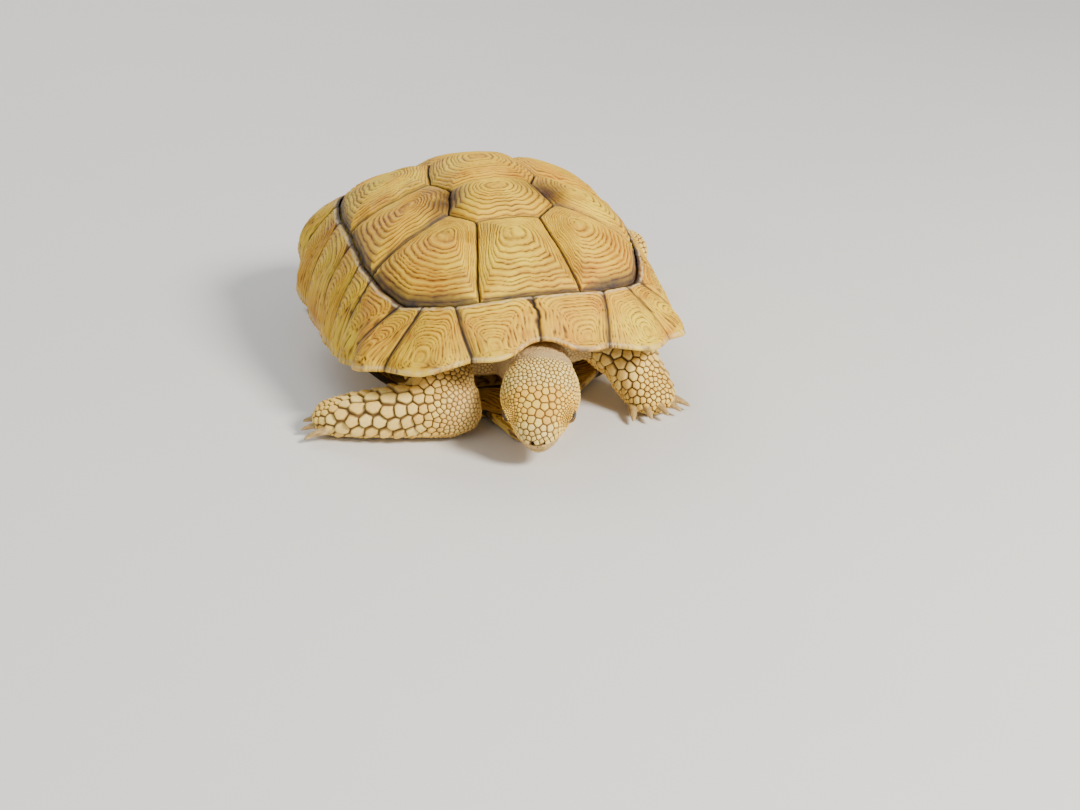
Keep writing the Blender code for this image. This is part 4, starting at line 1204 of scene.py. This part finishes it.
def unwrapped(skin, points):
    """Where each root lies on an unwrap of the skin's own shape."""
    coarse = mesh_object("unwrap", skin.vertices, skin.triangles)
    mesh = remeshed(coarse.data, UNWRAP_VOXEL)
    coarse.data = mesh
    bpy.context.view_layer.objects.active = coarse
    coarse.select_set(True)
    bpy.ops.object.mode_set(mode="EDIT")
    bpy.ops.mesh.select_all(action="SELECT")
    bpy.ops.mesh.quads_convert_to_tris()
    bpy.ops.uv.smart_project(angle_limit=radians(66), island_margin=0.004)
    bpy.ops.object.mode_set(mode="OBJECT")
    flat = read(mesh.uv_layers.active.data, "uv", 2).reshape(-1, 3, 2)
    corners = read(mesh.loops, "vertex_index", 1, np.int32).reshape(-1, 3)
    surface = Surface(read(mesh.vertices, "co", 3).astype(float), corners)
    dropped, faces = surface.drop(points)
    shares = surface.shares(dropped, faces)
    bpy.data.objects.remove(coarse, do_unlink=True)
    return np.einsum("ni,nij->nj", shares, flat[faces])


def plant(skin):
    """The root of every scale with all that shapes it."""
    points, faces = scatter(skin)
    plan = skin.at(skin.plan, points, faces)
    normals = unit(skin.at(skin.normals, points, faces))
    parts = skin.parts[skin.triangles[faces, 0]]
    keep = (skin.at(skin.bare[:, None].astype(float), points, faces)[:, 0] < 0.5) & in_sight(points, normals)
    points, plan, normals, parts = points[keep], plan[keep], normals[keep], parts[keep]
    return {
        "point": points,
        "normal": normals,
        "tangent": lie_of(points, normals, parts),
        "plan": plan,
        "part": parts,
        "around": neighbours(points, 11),
        "tone": rng.random(len(points)),
        "place": unwrapped(skin, points),
    }


def reach_of(roots, pick, angles):
    """How far each scale picked reaches at each angle before it meets its neighbours' ground."""
    around, own = roots["around"][pick], roots["plan"][:, 0]
    tangent, normal = roots["tangent"][pick], roots["normal"][pick]
    arm = roots["point"][around] - roots["point"][pick][:, None]
    gap = length_of(arm)
    along = np.einsum("nkj,nj->nk", arm, tangent)
    aside = np.einsum("nkj,nj->nk", arm, np.cross(normal, tangent))
    bearing = np.arctan2(aside, along)
    half = gap * own[pick][:, None] / (own[pick][:, None] + own[around])
    half = half - SCALE_GAP / 2 - SCALE_GAP_GROWTH * own[pick][:, None]
    turned = np.cos(angles[None, :, None] - bearing[:, None, :])
    reach = np.where(turned > 0.12, half[:, None, :] / np.maximum(turned, 0.12), 1.0).min(2)
    return np.clip(reach, 0.0003, 0.74 * own[pick][:, None])


def scale_block(skin, roots, pick, count, rings):
    """Vertices, faces and values of the scales picked, all with the same number of points."""
    angles = circle(count)
    reach = reach_of(roots, pick, angles)
    tangent, normal = roots["tangent"][pick], roots["normal"][pick]
    aside = np.cross(normal, tangent)
    way = np.cos(angles)[None, :, None] * tangent[:, None] + np.sin(angles)[None, :, None] * aside[:, None]
    root = roots["point"][pick][:, None]
    flat = root + way * reach[..., None]
    sag = skin.drop(flat.reshape(-1, 3))[0].reshape(flat.shape) - flat
    _, height, lean, doming, _, _ = roots["plan"][pick].T
    height = (height * (0.85 + 0.3 * roots["tone"][pick]))[:, None]
    doming, tilt = doming[:, None], 0.75 * lean[:, None] * np.cos(angles)[None]
    layers = [root + normal[:, None] * height[..., None]]
    for share, tall in rings:
        dome = tall * doming + (1 - doming) * min(1.0, 1.25 * tall + 0.12)
        rise = np.maximum(height * (dome + tilt * share), 0.00010)
        place = root + way * (reach * share)[..., None] + sag * share**2
        layers.append(place + normal[:, None] * rise[..., None])
    layers.append(flat + sag - normal[:, None] * SCALE_SKIRT)
    vertices = np.concatenate(layers, 1)
    vertices[..., 2] = np.maximum(vertices[..., 2], 0.0001)
    ring = np.arange(count)
    after = (ring + 1) % count
    pattern = [np.stack([np.zeros(count, int), 1 + ring, 1 + after], 1)]
    for base in 1 + count * np.arange(len(rings)):
        pattern.append(np.stack([base + ring, base + count + ring, base + count + after], 1))
        pattern.append(np.stack([base + ring, base + count + after, base + after], 1))
    faces = np.concatenate(pattern)[None] + (np.arange(len(pick)) * vertices.shape[1])[:, None, None]
    shares = np.repeat([0.0, *[ring[0] for ring in rings], 1.0], [1] + [count] * (len(rings) + 1))
    bearings = np.concatenate([[0.0], np.tile(angles, len(rings) + 1)])
    local = np.stack([np.cos(bearings), np.sin(bearings)], 1) * shares[:, None]
    values = {
        "radius": np.tile(shares, len(pick)),
        "tone": np.repeat(roots["tone"][pick], len(shares)),
        "dusk": np.repeat(roots["plan"][pick, 4], len(shares)),
        "warm": np.repeat(roots["plan"][pick, 5], len(shares)),
        "root": np.repeat(roots["point"][pick], len(shares), 0),
    }
    place = (roots["place"][pick][:, None] + local * BAKE_PATCH / 2).reshape(-1, 2)
    return vertices.reshape(-1, 3), faces.reshape(-1, 3), values, place


def build_scales(name, skin, roots, chosen, material, nodes):
    """One piece of many scales, each a low dome with its own edge, bedded a little in the skin."""
    blocks, low = [], 0.0
    own = roots["plan"][:, 0]
    for limit, count, rings in SCALE_KINDS:
        pick = np.flatnonzero(chosen & (own > low) & (own <= limit))
        low = limit
        if len(pick):
            blocks.append(scale_block(skin, roots, pick, count, rings))
    piece = mesh_object(name, *joined([block[:3] for block in blocks]))
    place = np.concatenate([block[3] for block in blocks])
    layer = piece.data.uv_layers.new(name="OFBake")
    corners = read(piece.data.loops, "vertex_index", 1, np.int32).ravel()
    layer.data.foreach_set("uv", place[corners].astype(np.float32).ravel())
    return dress(piece, "scaly", material, *nodes)


WHOLE_LENGTH = (-1.0, 1.0)
SCALE_PIECES = (
    # name, the body parts it covers, and the stretch of the animal's length
    ("head", ("head", *BEAKS), WHOLE_LENGTH),
    ("neck", ("neck",), WHOLE_LENGTH),
    ("front", ("trunk",), (-1.0, 0.0)),
    ("rear", ("trunk", "tail"), (0.0, 1.0)),
    *((leg, (leg,), WHOLE_LENGTH) for leg in FEET),
)


def build_coat(skin, material):
    roots = plant(skin)
    length = roots["point"][:, 1]
    for name, nodes, (low, high) in SCALE_PIECES:
        chosen = np.isin(roots["part"], [PARTS.index(node) for node in nodes])
        chosen &= (length > low) & (length <= high)
        replaced = [node for node in nodes if node in FLESH]
        build_scales("scales_" + name, skin, roots, chosen, material, replaced)


# ---------------------------------------------------------------- plastron
BRIDGE_HALF_WIDTH = 0.150
BRIDGE_RISE = 0.042
BRIDGE_START = 0.085
PLATE_THICKNESS = 0.009
PLATE_GAP = 0.0004
PLATE_EDGE = (
    (-0.226, -0.205, -0.180, -0.158, -0.140, -0.120, -0.104, 0.072, 0.090, 0.120, 0.150, 0.175, 0.196),
    (0.024, 0.032, 0.040, 0.056, 0.074, 0.088, 0.098, 0.098, 0.084, 0.070, 0.056, 0.046, 0.034),
)
PLATE_SEAMS = (
    lambda x: -0.213 - 0.55 * np.minimum(x, 0.018) + 0.9 * np.maximum(0, x - 0.018),
    lambda x: -0.178 + 0.30 * x,
    lambda x: -0.103 + 0.06 * x,
    lambda x: -0.062 + 0.12 * x,
    lambda x: 0.070 - 0.03 * x,
    lambda x: 0.138 - 0.22 * x,
    lambda x: 0.166 + 1.05 * np.minimum(x, 0.024) - 0.35 * np.maximum(0, x - 0.024),
)
PLATES = (
    # name, whether it runs out over the bridge, and its areola as shares of the width and length
    ("gular", False, (0.30, 0.15)),
    ("humeral", False, (0.72, 0.30)),
    ("pectoral", True, (0.60, 0.30)),
    ("abdominal", True, (0.60, 0.45)),
    ("femoral", False, (0.75, 0.55)),
    ("anal", False, (0.55, 0.65)),
)


def build_plate(number, material):
    """One row of the plastron, left and right plate in one piece, with its rings cut into both faces."""
    name, bridge, areola = PLATES[number]
    front, rear = PLATE_SEAMS[number : number + 2]
    across = np.linspace(-1, 1, 181 if bridge else 121)[:, None]
    along = np.linspace(0, 1, 61 if bridge else 45)[None]
    middle = front(0) + (rear(0) - front(0)) * along
    reach = np.full_like(middle, BRIDGE_HALF_WIDTH) if bridge else np.interp(middle, *PLATE_EDGE)
    x = across * reach
    aside = np.abs(x)
    start, end = front(aside) + PLATE_GAP / 2, rear(aside) - PLATE_GAP / 2
    y = start + (end - start) * along
    base = BRIDGE_RISE * np.maximum(0, (aside - BRIDGE_START) / (BRIDGE_HALF_WIDTH - BRIDGE_START)) ** 1.6
    if not bridge:
        base = 0.006 * np.maximum(0, (np.abs(across) - 0.6) / 0.4) ** 2 + 0 * x
    gauge = norm_of(ratios_round(areola, (1.02, 1.0), np.abs(across), along), 5)
    place, size = np.stack([x, y, base], -1), np.maximum(end - start, 0.02)
    share = np.clip(gauge, 0, 1)
    rings, ridge, tone = ring_relief(place, place, share, size * 0.6, 0.12, 0.0007, 90 + number)
    ends = np.minimum(along, 1 - along) * (end - start)
    first, last = number == 0, number == len(PLATES) - 1
    to_seam = np.minimum(along + first, 1 - along + last) * (end - start)
    to_edge = np.minimum((1 - np.abs(across)) * reach, ends if first or last else 1.0)
    groove = np.maximum(bell(to_seam, 0.0009), bell(x, 0.0008))
    carve = np.clip(0.0004 - rings, 0, 0.0014) * np.clip(np.minimum(to_seam, aside) / 0.003, 0, 1)
    carve = carve + 0.0011 * groove
    round_off = np.clip(1 - to_edge / 0.0035, 0, 1) ** 2 * 0.0035
    lower = np.stack([x, y, base + carve + round_off], -1)
    upper = np.stack([x, y, base + PLATE_THICKNESS - 0.6 * carve - round_off], -1)
    vertices = np.concatenate([lower.reshape(-1, 3), upper.reshape(-1, 3)])
    sheet, index = grid_faces(*x.shape, False), np.arange(x.size).reshape(x.shape)
    border = np.concatenate([index[0], index[1:, -1], index[-1, -2::-1], index[-2:0:-1, 0]])
    after = np.roll(border, -1)
    wall = np.stack([border, after, after + x.size, border + x.size], 1)
    faces = [sheet, sheet[:, ::-1] + x.size, wall[:, ::-1]]
    values = {"ring": ridge, "seam": groove, "growth": bell(to_seam, 0.0025), "band": tone, "pale": 0.0}
    attributes = {key: np.tile(np.broadcast_to(value, x.shape).ravel(), 2) for key, value in values.items()}
    attributes["flow"] = np.tile(on_grid(y, gauge * size, float(number)).reshape(-1, 3), (2, 1))
    piece = mesh_object(f"plate_{name}", vertices, faces, attributes)
    dress(piece, "plastron", material, f"plastron_{name}")


# ---------------------------------------------------------------- claws
CLAW_TAPER = 0.74
CONE_LEVELS = 30
CONE_SIDES = 28
HORN_BELOW, HORN_ABOVE = 0.72, 1.04  # shares of a horn's height, under and over its middle
HORN_LOWEST = 0.0008  # over the ground
CLAWS = {
    # half of the claws' places, from the middle out: aside, back from the foot's end, and up; the fan in
    # degrees; and one claw's length, width, height and droop
    "foreleg": (
        ((0.0, 0.0040, 0.0130), (0.0110, 0.0065, 0.0120), (0.0215, 0.0120, 0.0105)),
        32,
        (0.0240, 0.0052, 0.0046, 0.0050),
    ),
    "hindleg": (
        ((0.0063, 0.0025, 0.0120), (0.0185, 0.0080, 0.0110)),
        26,
        (0.0250, 0.0058, 0.0051, 0.0055),
    ),
}


def horn_cone(root, direction, length, width, height, droop, seed):
    """A blunt curved cone of horn, flatter below, with faint lengthwise ribs and a worn tip.

    Returns its vertices, faces and attributes.
    """
    share = np.linspace(0, 1, CONE_LEVELS) ** 0.9
    around = circle(CONE_SIDES)
    side = unit(np.cross([0, 0, 1], direction))
    centre = root + np.outer(share * length, direction) - np.outer(droop * share**2, [0, 0, 1])
    heading = unit(direction[None] - np.outer(2 * droop / length * share, [0, 0, 1]))
    up = np.cross(heading, side)
    taper = (1 - CLAW_TAPER * share**1.6) * np.sqrt(np.clip(1 - ((share - 0.86) / 0.14).clip(0) ** 2, 0, 1))
    cross, rise = np.cos(around)[None] * width, np.sin(around)[None] * height
    rise = np.where(rise < 0, rise * HORN_BELOW, rise * HORN_ABOVE)
    along = np.stack([share * 5, share * 0 + seed], 1)
    ribs = 1 + 0.010 * np.sin(around * 9 + seed)[None] + 0.05 * noise(along, 0.6)[:, None]
    scale = (taper[:, None] * ribs)[..., None]
    points = centre[:, None] + scale * (cross[..., None] * side + rise[..., None] * up[:, None])
    vertices = np.concatenate([points.reshape(-1, 3), points[-1:].mean(1)])
    vertices[:, 2] = np.maximum(vertices[:, 2], HORN_LOWEST)
    tip = len(vertices) - 1
    tube = grid_faces(CONE_LEVELS, CONE_SIDES, True)
    closing = fan(np.arange(tip - CONE_SIDES, tip), tip)
    faces = np.concatenate([tube[:, [0, 1, 2]], tube[:, [0, 2, 3]], closing])
    attributes = {
        "along": np.append(np.repeat(share, CONE_SIDES), 1.0),
        "turn": np.cos(np.append(np.tile(around, CONE_LEVELS), 0.0)) + 0.3 * seed,
    }
    return vertices, faces, attributes


SPURS = {
    # on the back of each thigh, the largest first
    "left": ((0.094, 0.136, 0.040), (0.108, 0.147, 0.034), (0.083, 0.124, 0.045)),
    "right": ((-0.071, 0.130, 0.040), (-0.082, 0.143, 0.034), (-0.064, 0.117, 0.046)),
}
SPUR_SIZES = ((0.0205, 0.0072), (0.0165, 0.0061), (0.0145, 0.0055))  # length, and half width at the root
SPUR_SUNK = 0.0030  # of each spur's root, in the skin


def build_spurs(skin, material):
    """The big cone-shaped scales on the backs of the thighs, one piece on each side."""
    for side, places in SPURS.items():
        cones = []
        for number, (place, (length, width)) in enumerate(zip(places, SPUR_SIZES)):
            roots, faces = skin.drop([place])
            normal = unit(skin.at(skin.normals, roots, faces))[0]
            direction = unit(normal + np.array([0, 0.45, -0.35]))
            root = roots[0] - normal * SPUR_SUNK
            cones.append(horn_cone(root, direction, length, width, width, 0.0010, number + 3))
        dress(mesh_object(f"horn_spurs_{side}", *joined(cones)), "claw", material)


def build_claws(material):
    for leg, (end, before) in FEET.items():
        kind, side = leg.split("_")
        half, spread, claw = CLAWS[kind]
        places = [(-aside, *rest) for aside, *rest in half[::-1] if aside] + list(half)
        forward = unit([end[0] - before[0], end[1] - before[1], 0])
        sideways = np.array([-forward[1], forward[0], 0])
        for number, (offset, back, height) in enumerate(places, 1):
            angle = offset / half[-1][0] * radians(spread)
            direction = forward * cos(angle) + sideways * sin(angle)
            root = np.array([*end, height]) + sideways * offset - forward * back
            name = f"claw_{kind.removesuffix('leg')}_{side}_{number}"
            cone = horn_cone(root, direction, *claw, number + 5 * SIDES[side])
            dress(mesh_object("horn_" + name, *cone), "claw", material, name)


# ---------------------------------------------------------------- eyes
EYE_SIDES = 64
EYE_SLACK = 0.0003  # between the eyeball and its solid
CORNEA_RISE, CORNEA_ANGLE = 0.00055, 0.52


def build_eye(side, material):
    """An eyeball with a low cornea. Its angles from the line of sight carry the pupil and the iris."""
    outward, forward, up = eye_axes(side)
    polar_angle = np.linspace(0, pi, 49)[1:-1]
    around = circle(EYE_SIDES)
    radius = EYE_RADIUS - EYE_SLACK + CORNEA_RISE * bell(polar_angle, CORNEA_ANGLE, 4)
    ring = np.outer(np.cos(around), forward) + np.outer(np.sin(around), up)
    flat = np.sin(polar_angle)[:, None, None] * ring + np.cos(polar_angle)[:, None, None] * outward
    points = EYES[side] + radius[:, None, None] * flat
    poles = [EYES[side] + outward * radius[0], EYES[side] - outward * radius[-1]]
    vertices = np.concatenate([points.reshape(-1, 3), poles])
    front, back = np.arange(EYE_SIDES), len(vertices) - 2 - EYE_SIDES + np.arange(EYE_SIDES)
    caps = [fan(front, len(vertices) - 2)[:, ::-1], fan(back, len(vertices) - 1)]
    turn = np.append(np.tile(around, len(polar_angle)), [0.0, 0.0])
    attributes = {
        "gaze": np.append(np.repeat(polar_angle, EYE_SIDES), [0.0, pi]),
        "spoke": np.sin(turn * 3) + np.cos(turn * 5),
    }
    faces = [grid_faces(len(polar_angle), EYE_SIDES, True), *caps]
    dress(mesh_object(f"eyeball_{side}", vertices, faces, attributes), "eye", material, f"eye_{side}")


# ---------------------------------------------------------------- beak
BEAK_VOXEL = 0.00075
BEAK_PROUD = 0.0007  # how far the horn stands out of the skin round it


def build_beak(name, upper, material):
    """The horn sheath of a jaw: proud along its cutting edge, and sunk under the skin away from it."""
    vertices, triangles = triangles_of(remeshed(mesh_of(solid_of(name)), BEAK_VOXEL))
    vertices = smoothed(vertices, triangles, 14)
    ahead, left, up = in_head(vertices).T
    from_mouth = up - MOUTH_LEVEL if upper else MOUTH_LEVEL - up
    reach = upper_reach(ahead) if upper else BEAK_REACH["lower"]
    sunk = steps(from_mouth, reach, reach + 0.0012) + steps(ahead, BEAK_START + 0.0030, BEAK_START + 0.0010)
    sunk = np.clip(sunk, 0, 1)
    edge = bell(from_mouth, 0.0012)
    ribs = 0.00010 * np.sin(left / 0.00055 + 3 * noise(vertices, 0.004, 61))
    hook = 0.0008 * bell(left, 0.0028) * steps(ahead, 0.078, 0.083) if upper else 0.0
    offset = BEAK_PROUD - COAT_DEPTH + ribs * (1 - edge) - 0.0022 * sunk
    middle = vertices.mean(0)
    vertices = vertices + normals_of(vertices, triangles) * offset[:, None]
    vertices = vertices - head_axes()[2] * (hook * edge)[:, None]
    vertices = vertices + (middle - vertices) * (0.30 * sunk)[:, None]
    attributes = {"across": left, "from_mouth": from_mouth}
    return dress(mesh_object("horn_" + name, vertices, triangles, attributes), "horn", material, name)


# ---------------------------------------------------------------- materials of the flesh
def skin_material():
    s = Shader("skin")
    place = s.place()
    grey = s.mix(s.span(s.noise(place, 70, 4), 0.35, 0.65), (184, 156, 106), (224, 192, 134))
    tan = s.mix(s.span(s.noise(place, 110, 4), 0.35, 0.65), (66, 48, 24), (98, 74, 40))
    tan = s.mix(s.attribute("face"), tan, (140, 104, 56))
    tint = s.mix(s.attribute("soft"), tan, grey)
    tint = s.mix(s.attribute("rim"), tint, (112, 84, 52))
    # painted shade: near-black in the hollows of the nostrils
    tint = s.mix(s.attribute("nostril_painted_shade"), tint, (24, 16, 10))
    # fine cells of the skin, darker along their edges: partly their own lines, partly painted shade in the
    # creases the bump makes there
    cells = s.node("TexVoronoi", {"Vector": place, "Scale": 900.0}, feature="DISTANCE_TO_EDGE")
    lines = s.span(cells.outputs["Distance"], 0.0, 0.16)
    tint = s.mix(s.span(lines, 0.0, 1.0, 0.35, 0.0), tint, (92, 72, 48))
    normal = s.bump(lines, 0.0003, 0.6)
    normal = s.bump(s.noise(place, 420, 4, 0.6), 0.0004, 0.5, normal)
    rough = s.span(s.noise(place, 200, 2), 0.3, 0.7, 0.62, 0.82)
    return s.finish(tint, rough, normal, Specular_IOR_Level=0.3)


def scale_material():
    """Horny scales: pale cream or orange-tan with brown edges, finely lined and scuffed."""
    s = Shader("scales")
    root, tone, radius = s.attribute("root", "Vector"), s.attribute("tone"), s.attribute("radius")
    zone = s.attribute("warm")
    pale = s.mix(tone, (254, 226, 136), (238, 198, 102))
    tan = s.mix(tone, (255, 214, 88), (244, 188, 64))
    tint = s.mix(zone, pale, tan)
    tint = s.mix(s.attribute("dusk"), tint, (200, 170, 116))
    stained = s.span(s.noise(root, 60, 3), 0.5, 0.75, 0, 0.40)
    tint = s.mix(stained, tint, (176, 118, 48))
    blotch = s.mottle(520, 4, 0.46, 0.76, 0, 0.32, roughness=0.6)
    tint = s.mix(blotch, tint, (158, 110, 50))
    rim = s.span(radius, 0.80, 1.0, 0, 0.85)
    tint = s.mix(rim, tint, s.mix(zone, (84, 56, 24), (156, 108, 52)))
    lines = s.noise(s.place(), 2300, 3, 0.6)
    normal = s.bump(lines, 0.00025, 0.6)
    normal = s.bump(s.noise(s.place(), 700, 3), 0.0003, 0.5, normal)
    return s.finish(tint, s.mottle(300, 2, 0.3, 0.7, 0.48, 0.70), normal, Specular_IOR_Level=0.35)


def horn_material(name, pale, dark, along, lengthwise, spread):
    """Horn with streaks that run along one attribute and change quickly across the other."""
    s = Shader(name)
    value = s.attribute(along)
    inputs = {"X": s.math("MULTIPLY", s.attribute(lengthwise), spread), "Y": value}
    streak = s.noise(s.node("CombineXYZ", inputs).outputs[0], 3.2, 4, 0.65)
    tint = s.mix(s.span(streak, 0.35, 0.70), pale, dark)
    tint = s.mix(s.mottle(240, 3, 0.45, 0.75, 0, 0.5), tint, dark)
    normal = s.bump(streak, 0.0003, 0.5)
    normal = s.bump(s.noise(s.place(), 1400, 3), 0.0002, 0.4, normal)
    return s.finish(tint, s.mottle(300, 2, 0.3, 0.7, 0.34, 0.52), normal, Specular_IOR_Level=0.45)


def eye_material():
    s = Shader("eye")
    gaze = s.attribute("gaze")
    fibre = s.noise(s.node("CombineXYZ", {"X": s.attribute("spoke"), "Y": gaze}).outputs[0], 9.0, 4, 0.7)
    iris = s.mix(s.span(fibre, 0.3, 0.7), (52, 32, 14), (26, 16, 8))
    tint = s.mix(s.span(gaze, 0.235, 0.275), (6, 5, 4), iris)
    tint = s.mix(s.span(gaze, 0.56, 0.66), tint, (44, 34, 26))
    return s.finish(tint, 0.10, None, Specular_IOR_Level=0.25, Coat_Weight=0.35, Coat_Roughness=0.03)


# ---------------------------------------------------------------- stage
CAMERA_DISTANCE = 2.2
CAMERA_AZIMUTH = 13.96
CAMERA_ELEVATION = 21.0
CAMERA_TARGET = Vector((0, 0, 0.1))
CAMERA_LENS = 69.9
AIM_RIGHT, AIM_DOWN = 0.02618026, 0.06638054  # how far past the target it looks, per metre of distance


def point_at(thing, place, way):
    """Puts a camera or light at a place, looking along the way given."""
    thing.location = place
    thing.rotation_euler = way.to_track_quat("-Z", "Y").to_euler()


def build_camera():
    azimuth, elevation = radians(CAMERA_AZIMUTH), radians(CAMERA_ELEVATION)
    forward = Vector((sin(azimuth) * cos(elevation), cos(azimuth) * cos(elevation), -sin(elevation)))
    side = forward.cross(Vector((0, 0, 1))).normalized()
    aim = (forward + side * AIM_RIGHT - side.cross(forward) * AIM_DOWN).normalized()
    data = bpy.data.cameras.new("camera")
    data.lens, data.sensor_width = CAMERA_LENS, 36
    camera = placed("camera", data)
    point_at(camera, CAMERA_TARGET - forward * CAMERA_DISTANCE, aim)
    bpy.context.scene.camera = camera


def build_light(name, place, size, power, colour):
    data = bpy.data.lights.new(name, "AREA")
    data.shape = "DISK"
    data.size, data.energy, data.color = size, power, colour
    point_at(placed(name, data), place, CAMERA_TARGET - Vector(place))


FLOOR_HALF = 6.0


def build_stage():
    build_camera()
    build_light("key", (1.50, -2.15, 2.10), 0.9, 182, (1.0, 0.95, 0.87))
    build_light("fill", (-2.2, -1.6, 1.5), 2.4, 14, (0.93, 0.96, 1.0))
    build_light("back", (-0.5, 2.2, 2.0), 1.8, 36, (1.0, 0.98, 0.95))
    world = bpy.data.worlds.new("studio")
    world.use_nodes = True
    world.node_tree.nodes["Background"].inputs["Color"].default_value = (0.92, 0.95, 1.0, 1)
    world.node_tree.nodes["Background"].inputs["Strength"].default_value = 0.42
    bpy.context.scene.world = world
    s = Shader("floor")
    tone = s.mix(s.noise(s.place(), 3, 2), (236, 235, 231), (230, 229, 225))
    corners = [(x * FLOOR_HALF, y * FLOOR_HALF, 0) for x, y in ((-1, -1), (1, -1), (1, 1), (-1, 1))]
    floor = mesh_object("floor", corners, np.array([[0, 1, 2, 3]]))
    floor.data.materials.append(s.finish(tone, 0.6))
    floor.location.z = -0.0005


# ---------------------------------------------------------------- the whole animal
def build_skin(material):
    skin = Skin(*build_skin_surface())
    reach = np.min([distance(skin.vertices, hole) for hole in nostrils()], axis=0)
    attributes = {
        "rim": skin.rim,
        "soft": skin.plan[:, 4],
        "face": 0.75 * steps(in_head(skin.vertices)[:, 0], -0.004, 0.016),
        # how close to a nostril, for the painted shade in its hollow
        "nostril_painted_shade": steps(reach, 1.5 * NOSTRIL_RADIUS, 0.8 * NOSTRIL_RADIUS),
    }
    dress(mesh_object("skin", skin.vertices, skin.triangles, attributes), "skin", material, *FLESH)
    return skin


def main():
    shell = shell_material("shell", (253, 213, 36), (226, 156, 22), (102, 58, 12))
    build_scutes(shell)
    build_marginals(shell)
    under = shell_material("plastron", (240, 206, 112), (212, 164, 70), (134, 90, 36))
    for number in range(len(PLATES)):
        build_plate(number, under)
    skin = build_skin(skin_material())
    build_coat(skin, scale_material())
    beak = horn_material("beak", (232, 196, 116), (140, 98, 44), "from_mouth", "across", 900.0)
    build_beak("beak_upper", True, beak)
    build_beak("beak_lower", False, beak)
    claws = horn_material("claws", (216, 184, 118), (120, 88, 46), "along", "turn", 3.0)
    build_claws(claws)
    build_spurs(skin, claws)
    eye = eye_material()
    build_eye("left", eye)
    build_eye("right", eye)
    build_stage()


main()
